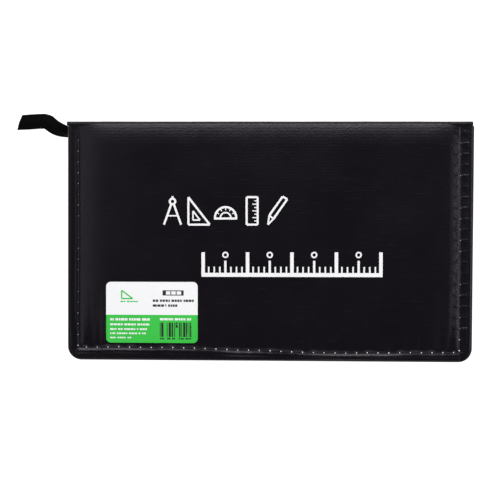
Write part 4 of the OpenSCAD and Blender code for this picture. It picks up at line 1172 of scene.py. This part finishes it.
def binding_route():
    """Stations round the three sewn sides: (x, y, in x, in y), mitred at the two corners."""
    left = [(-POCKET_X, y, 1, 0) for y in spread(POCKET_Y1, POCKET_Y0, 60)[:-1]]
    mouth = [(x, POCKET_Y0, 0, 1) for x in spread(-POCKET_X, POCKET_X, 120)[1:-1]]
    right = [(POCKET_X, y, -1, 0) for y in spread(POCKET_Y0, POCKET_Y1, 60)[1:]]
    return left + [(-POCKET_X, POCKET_Y0, 1, 1)] + mouth + [(POCKET_X, POCKET_Y0, -1, 1)] + right


def binding_outline():
    """Folded band: a flat lip over the vinyl's edge, and a gusset up to the lining with a soft fold."""
    lip, top = SHEET_TOP - 0.42, COVER_TOP - 4.85
    return [(0.35, lip), (1.4, lip - 0.12), (2.5, lip - 0.08), (3.6, lip - 0.12), (4.7, lip),
            (4.95, lip + 0.35), (4.8, lip + 0.9), (4.45, 23.2), (4.1, 24.4), (4.5, 25.6), (4.85, top - 0.3),
            (4.6, top), (2.5, top), (0.4, top), (0.1, top - 0.3), (0.5, 25.6), (0.95, 24.4), (0.5, 23.2),
            (0.15, lip + 0.9), (0.05, lip + 0.35)]


def binding_place(station, point):
    x, y, in_x, in_y = station
    a, z = point
    pull = 0.10 * ripple(x / 7, y / 7, z / 5)
    inward = a + pull * (0.4 < a < 4.6)
    return x + in_x * inward, y + in_y * inward, z + pull * 0.6 * (z < 22)


def band_stitches():
    """Grey lock stitches along the middle of the band's lip."""
    seam, y, x = [], POCKET_Y1 - 2.0, -POCKET_X + 4
    while y > POCKET_Y0 + 4:
        seam += [(side * (POCKET_X - BAND_MIDDLE), y, True) for side in (-1, 1)]
        y -= BAND_STITCH
    while x < POCKET_X - 3:
        seam.append((x, POCKET_Y0 + BAND_MIDDLE, False))
        x += BAND_STITCH
    stitch, made = thread_rod(0.00017, 0.0026), []

    def hang(co):
        z = (SHEET_TOP - 0.50) / 1000 + co.z - 0.00012 * (1 - (co.x / 0.0013) ** 2)
        return x / 1000 + (co.y if upright else co.x), y / 1000 + (co.x if upright else co.y), z

    for x, y, upright in seam:
        made.append(moved_copy(stitch, hang))
    bpy.data.objects.remove(stitch)
    row = join_all("band_stitches", made)
    smooth_off(row, 60)
    return row


clear_vinyl, tree, skin, place = new_finish("clear_vinyl")
haze = speckle(tree, place, 70.0, 5.0)
paint(skin, haze, (0.90, 0.94, 0.96), (0.96, 0.97, 0.98), (0.02, 0.16), (haze, 0.25, 0.0006),
      IOR=1.35, **CLEAR)
join_in(vinyl(), clear_vinyl, "front_half", "clear_vinyl", "pocket_sheet")

band_cloth = cloth_finish("band_cloth", (0.008, 0.008, 0.009), (0.030, 0.030, 0.034), 620.0, 0.55,
                          0.00012, 0.15)
binding = closed_strip("pocket_band", binding_outline(), binding_route(), binding_place, 45)
join_in(binding, band_cloth, "front_half", "elastic", "pocket_binding")

grey_thread = thread_finish("grey_thread", (0.06, 0.06, 0.065), (0.16, 0.16, 0.17), 0.6)
join_in(band_stitches(), grey_thread, "front_half", "elastic")

# ---- Zipper chain, slider and stops
# Two black nylon coils, one on the edge of each tape, that lock into each other. A die-cast zinc slider
# with its puller runs over them, and a zinc stop is crimped on each.


def surface_wear():
    """Group: handling marks for rigid parts. Fine scratches, slow smudges and a small bump height."""
    group, given = node_group("surface_wear", {"Vector": None, "Scratch": 0.5},
                              ("Scratches", "Smudge", "Height"))
    place = given["Vector"]
    drawn = add_node(group, "Mapping", {"Vector": place, "Scale": (1.0, 9.0, 9.0), "Rotation": (0, 0, 0.35)})
    lines = remap(group, speckle(group, drawn.outputs[0], 300.0, 5.0, Roughness=0.65), 0.58, 0.72)
    fine = math_node(group, "MULTIPLY", lines, given["Scratch"])
    grit = math_node(group, "MULTIPLY", speckle(group, place, 1500.0), 0.3)
    add_node(group, "NodeGroupOutput", {"Scratches": fine, "Smudge": speckle(group, place, 90.0, 4.0),
                                        "Height": math_node(group, "MULTIPLY_ADD", fine, -0.5, grit)})
    return group


WEAR = surface_wear()


def rigid_finish(name, base, worn, rough, scratch=0.5, depth=0.00002, **sockets):
    """A hard material: its colour, the colour where it is rubbed, its gloss and further socket values."""
    made, tree, skin, place = new_finish(name)
    wear = add_node(tree, "Group", {"Vector": place, "Scratch": scratch}, node_tree=WEAR).outputs
    mask = math_node(tree, "MULTIPLY_ADD", wear["Smudge"], 0.35,
                     math_node(tree, "MULTIPLY", wear["Scratches"], 0.6), clamp=True)
    wet = math_node(tree, "MULTIPLY_ADD", wear["Smudge"], 0.16, rough - 0.08)
    paint(skin, mask, base, worn, math_node(tree, "MULTIPLY_ADD", wear["Scratches"], 0.15, wet),
          (wear["Height"], 0.5, depth), **sockets)
    return made, tree, skin, place


def dress(finish, *nodes):
    """Gives solids of the model their finish."""
    for name in nodes:
        coat(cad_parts[name], finish[0])


METAL = {"Metallic": 1.0}
dress(rigid_finish("coil_nylon", (0.008, 0.008, 0.009), (0.022, 0.022, 0.024), 0.34, depth=0.00003),
      "back_coil", "front_coil")
dress(rigid_finish("zinc", (0.60, 0.60, 0.62), (0.44, 0.44, 0.45), 0.30, **METAL),
      "slider_body", "slider_puller", "back_stop", "front_stop")

# ---- Boards
# Plates of grey-brown fibre board, cut clean at their edges, that stiffen the covers and the spine.
# Leather and linings are glued round them.
dress(rigid_finish("fibre_board", (0.30, 0.25, 0.19), (0.38, 0.33, 0.26), 0.8, scratch=0.2, depth=0.0001),
      "back_board", "front_board", "spine_board")

# ---- Metal instruments
# Compass, extension bar, ruling pen and screws are brass turned, milled and nickel plated; points,
# pivot and blade are steel, ground along their length.
dress(rigid_finish("nickel_plate", (0.70, 0.69, 0.66), (0.56, 0.55, 0.52), 0.20, **METAL),
      "compass_handle", "compass_head", "needle_leg", "needle_screw", "lead_leg", "lead_holder",
      "lead_screw", "pencil_tip", "pencil_clip", "pencil_button", "extension_bar", "extension_screw",
      "ruling_pen", "pen_screw")
dress(rigid_finish("ground_steel", (0.52, 0.53, 0.55), (0.40, 0.41, 0.43), 0.26, scratch=0.9, **METAL),
      "compass_pivot", "needle", "screwdriver_blade")

# ---- Leads
# The compass's lead, clamped in its holder, and the spare ones, loose in their tube: sticks of bare
# graphite, dark grey with a soft lustre.
dress(rigid_finish("graphite", (0.030, 0.030, 0.034), (0.085, 0.085, 0.092), 0.42, Metallic=0.4),
      "compass_lead", "spare_leads")

# ---- Mechanical pencil, lead tube and screwdriver
# Moulded plastic: a deep blue pencil barrel and tube cap, a clear tube and an amber see-through handle.
# The pencil's ribbed grip is soft black rubber, pushed on to its barrel.
dress(rigid_finish("blue_plastic", (0.012, 0.040, 0.170), (0.030, 0.070, 0.230), 0.20, scratch=0.4,
                   **{"Coat Weight": 0.4}), "pencil_barrel", "lead_tube_cap")
grip_rubber = rigid_finish("grip_rubber", (0.012, 0.012, 0.013), (0.030, 0.030, 0.033), 0.62, scratch=0.3)
_, tree, skin, place = grip_rubber
rings = bands(tree, place, 157.0, "X")
feed(skin, {"Normal": relief(tree, rings, 0.8, 0.0004)})
dress(grip_rubber, "pencil_grip")
dress(rigid_finish("clear_tube", (0.86, 0.90, 0.92), (0.93, 0.95, 0.96), 0.10, scratch=0.2,
                   IOR=1.45, **CLEAR), "lead_tube")
dress(rigid_finish("amber_plastic", (0.72, 0.30, 0.02), (0.80, 0.40, 0.05), 0.14, scratch=0.3,
                   IOR=1.47, **{"Transmission Weight": 0.6}), "screwdriver_handle")

# ---- Eraser and its sleeve
# A block of white vinyl, a little rubbed at the corners, in a sleeve of folded card that is printed
# with two plain bands.
dress(rigid_finish("eraser_white", (0.86, 0.86, 0.84), (0.70, 0.70, 0.70), 0.62, scratch=0.25,
                   depth=0.00006), "eraser")


def between(tree, value, low, high):
    """1 between two values, else 0."""
    return math_node(tree, "MULTIPLY", math_node(tree, "GREATER_THAN", value, low),
                     math_node(tree, "LESS_THAN", value, high))


def print_over(finish, mask, color):
    """Lays a printed colour over a finish by a mask."""
    _, tree, skin, _ = finish
    bare = skin.inputs["Base Color"].links[0].from_socket
    feed(skin, {"Base Color": blend_color(tree, mask, bare, color)})


sleeve_card = rigid_finish("sleeve_card", (0.030, 0.100, 0.290), (0.060, 0.150, 0.360), 0.42, scratch=0.3)
_, tree, _, place = sleeve_card
sleeve_mid = sum(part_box("eraser_sleeve"), Vector()) / 2
reach = add_node(tree, "SeparateXYZ", {0: place}).outputs["X"]
away = math_node(tree, "ABSOLUTE", math_node(tree, "SUBTRACT", reach, sleeve_mid.x))
print_over(sleeve_card, between(tree, away, 0.0075, 0.0115), (0.82, 0.82, 0.80))
dress(sleeve_card, "eraser_sleeve")

# ---- Flat instruments
# Clear acrylic set squares and protractor and a white plastic scale, with black millimetre marks
# hot stamped along their working edges.
BLACK = (0.02, 0.02, 0.02)


def stamped_marks():
    """Group: graduation lines from a place along an edge and a distance in from it, both in mm."""
    group, given = node_group("stamped_marks", {"Along": 0.0, "In": 0.0, "Line": 0.12}, ("Mark",))
    total = None
    for pitch, length in ((1.0, 2.6), (5.0, 3.8), (10.0, 5.2)):
        phase = math_node(group, "PINGPONG", given["Along"], pitch / 2)
        near = math_node(group, "LESS_THAN", phase, given["Line"])
        mark = math_node(group, "MULTIPLY", near, math_node(group, "LESS_THAN", given["In"], length))
        total = mark if total is None else math_node(group, "MAXIMUM", total, mark)
    inside = math_node(group, "GREATER_THAN", given["In"], 0.0)
    add_node(group, "NodeGroupOutput", {"Mark": math_node(group, "MULTIPLY", total, inside)})
    return group


MARKS = stamped_marks()


def edge_marks(tree, along_edge, inward, keep):
    """One graduated edge: keep is 1 where its marks are wanted."""
    marks = add_node(tree, "Group", {"Along": along_edge, "In": inward}, node_tree=MARKS)
    return math_node(tree, "MULTIPLY", marks.outputs["Mark"], keep)


def flat_finish(name, clear):
    """White plastic or clear acrylic, with its x and y in mm."""
    if clear:
        made = rigid_finish(name, (0.80, 0.90, 0.90), (0.88, 0.94, 0.94), 0.09, scratch=0.35,
                            IOR=1.45, **CLEAR)
    else:
        made = rigid_finish(name, (0.84, 0.84, 0.81), (0.72, 0.72, 0.69), 0.34, scratch=0.3)
    tree = made[1]
    scaled = add_node(tree, "VectorMath", {0: made[3], 3: 1000.0}, operation="SCALE").outputs[0]
    place = add_node(tree, "SeparateXYZ", {0: scaled}).outputs
    return made, tree, place["X"], place["Y"]


def flat_piece(name, node, clear, from_left, from_right, sides=(1,)):
    """Marks along a piece's low edge (1) or high edge (-1), leaving so many mm free at each end."""
    made, tree, x, y = flat_finish(name, clear)
    low, high = (corner * 1000 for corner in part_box(node))
    start, end, total = low.x + from_left, high.x - from_right, None
    for side in sides:
        edge = (low.y if side > 0 else high.y) + side * 0.4
        inward = math_node(tree, "MULTIPLY", math_node(tree, "SUBTRACT", y, edge), float(side))
        mark = edge_marks(tree, math_node(tree, "SUBTRACT", x, start), inward,
                          between(tree, x, start - 0.2, end + 0.2))
        total = mark if total is None else math_node(tree, "MAXIMUM", total, mark)
    print_over(made, total, BLACK)
    dress(made, node)


flat_piece("scale_white", "scale_rule", False, 5, 5, (1, -1))
flat_piece("acrylic_45", "set_square_45", True, 12, 12)
flat_piece("acrylic_60", "set_square_60", True, 5, 28)

arc_low, arc_high = (corner * 1000 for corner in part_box("protractor"))
acrylic_arc, tree, x, y = flat_finish("acrylic_arc", True)
from_x = math_node(tree, "SUBTRACT", x, (arc_low.x + arc_high.x) / 2)
from_y = math_node(tree, "SUBTRACT", y, arc_low.y + 6)
radius = math_node(tree, "SQRT", math_node(tree, "MULTIPLY_ADD", from_x, from_x,
                                           math_node(tree, "MULTIPLY", from_y, from_y)))
angle = math_node(tree, "MULTIPLY", math_node(tree, "ARCTAN2", from_y, from_x), 180 / math.pi)
rim = math_node(tree, "SUBTRACT", (arc_high.x - arc_low.x) / 2 - 0.4, radius)
print_over(acrylic_arc, edge_marks(tree, angle, rim, between(tree, angle, -0.3, 180.3)), BLACK)
dress(acrylic_arc, "protractor")
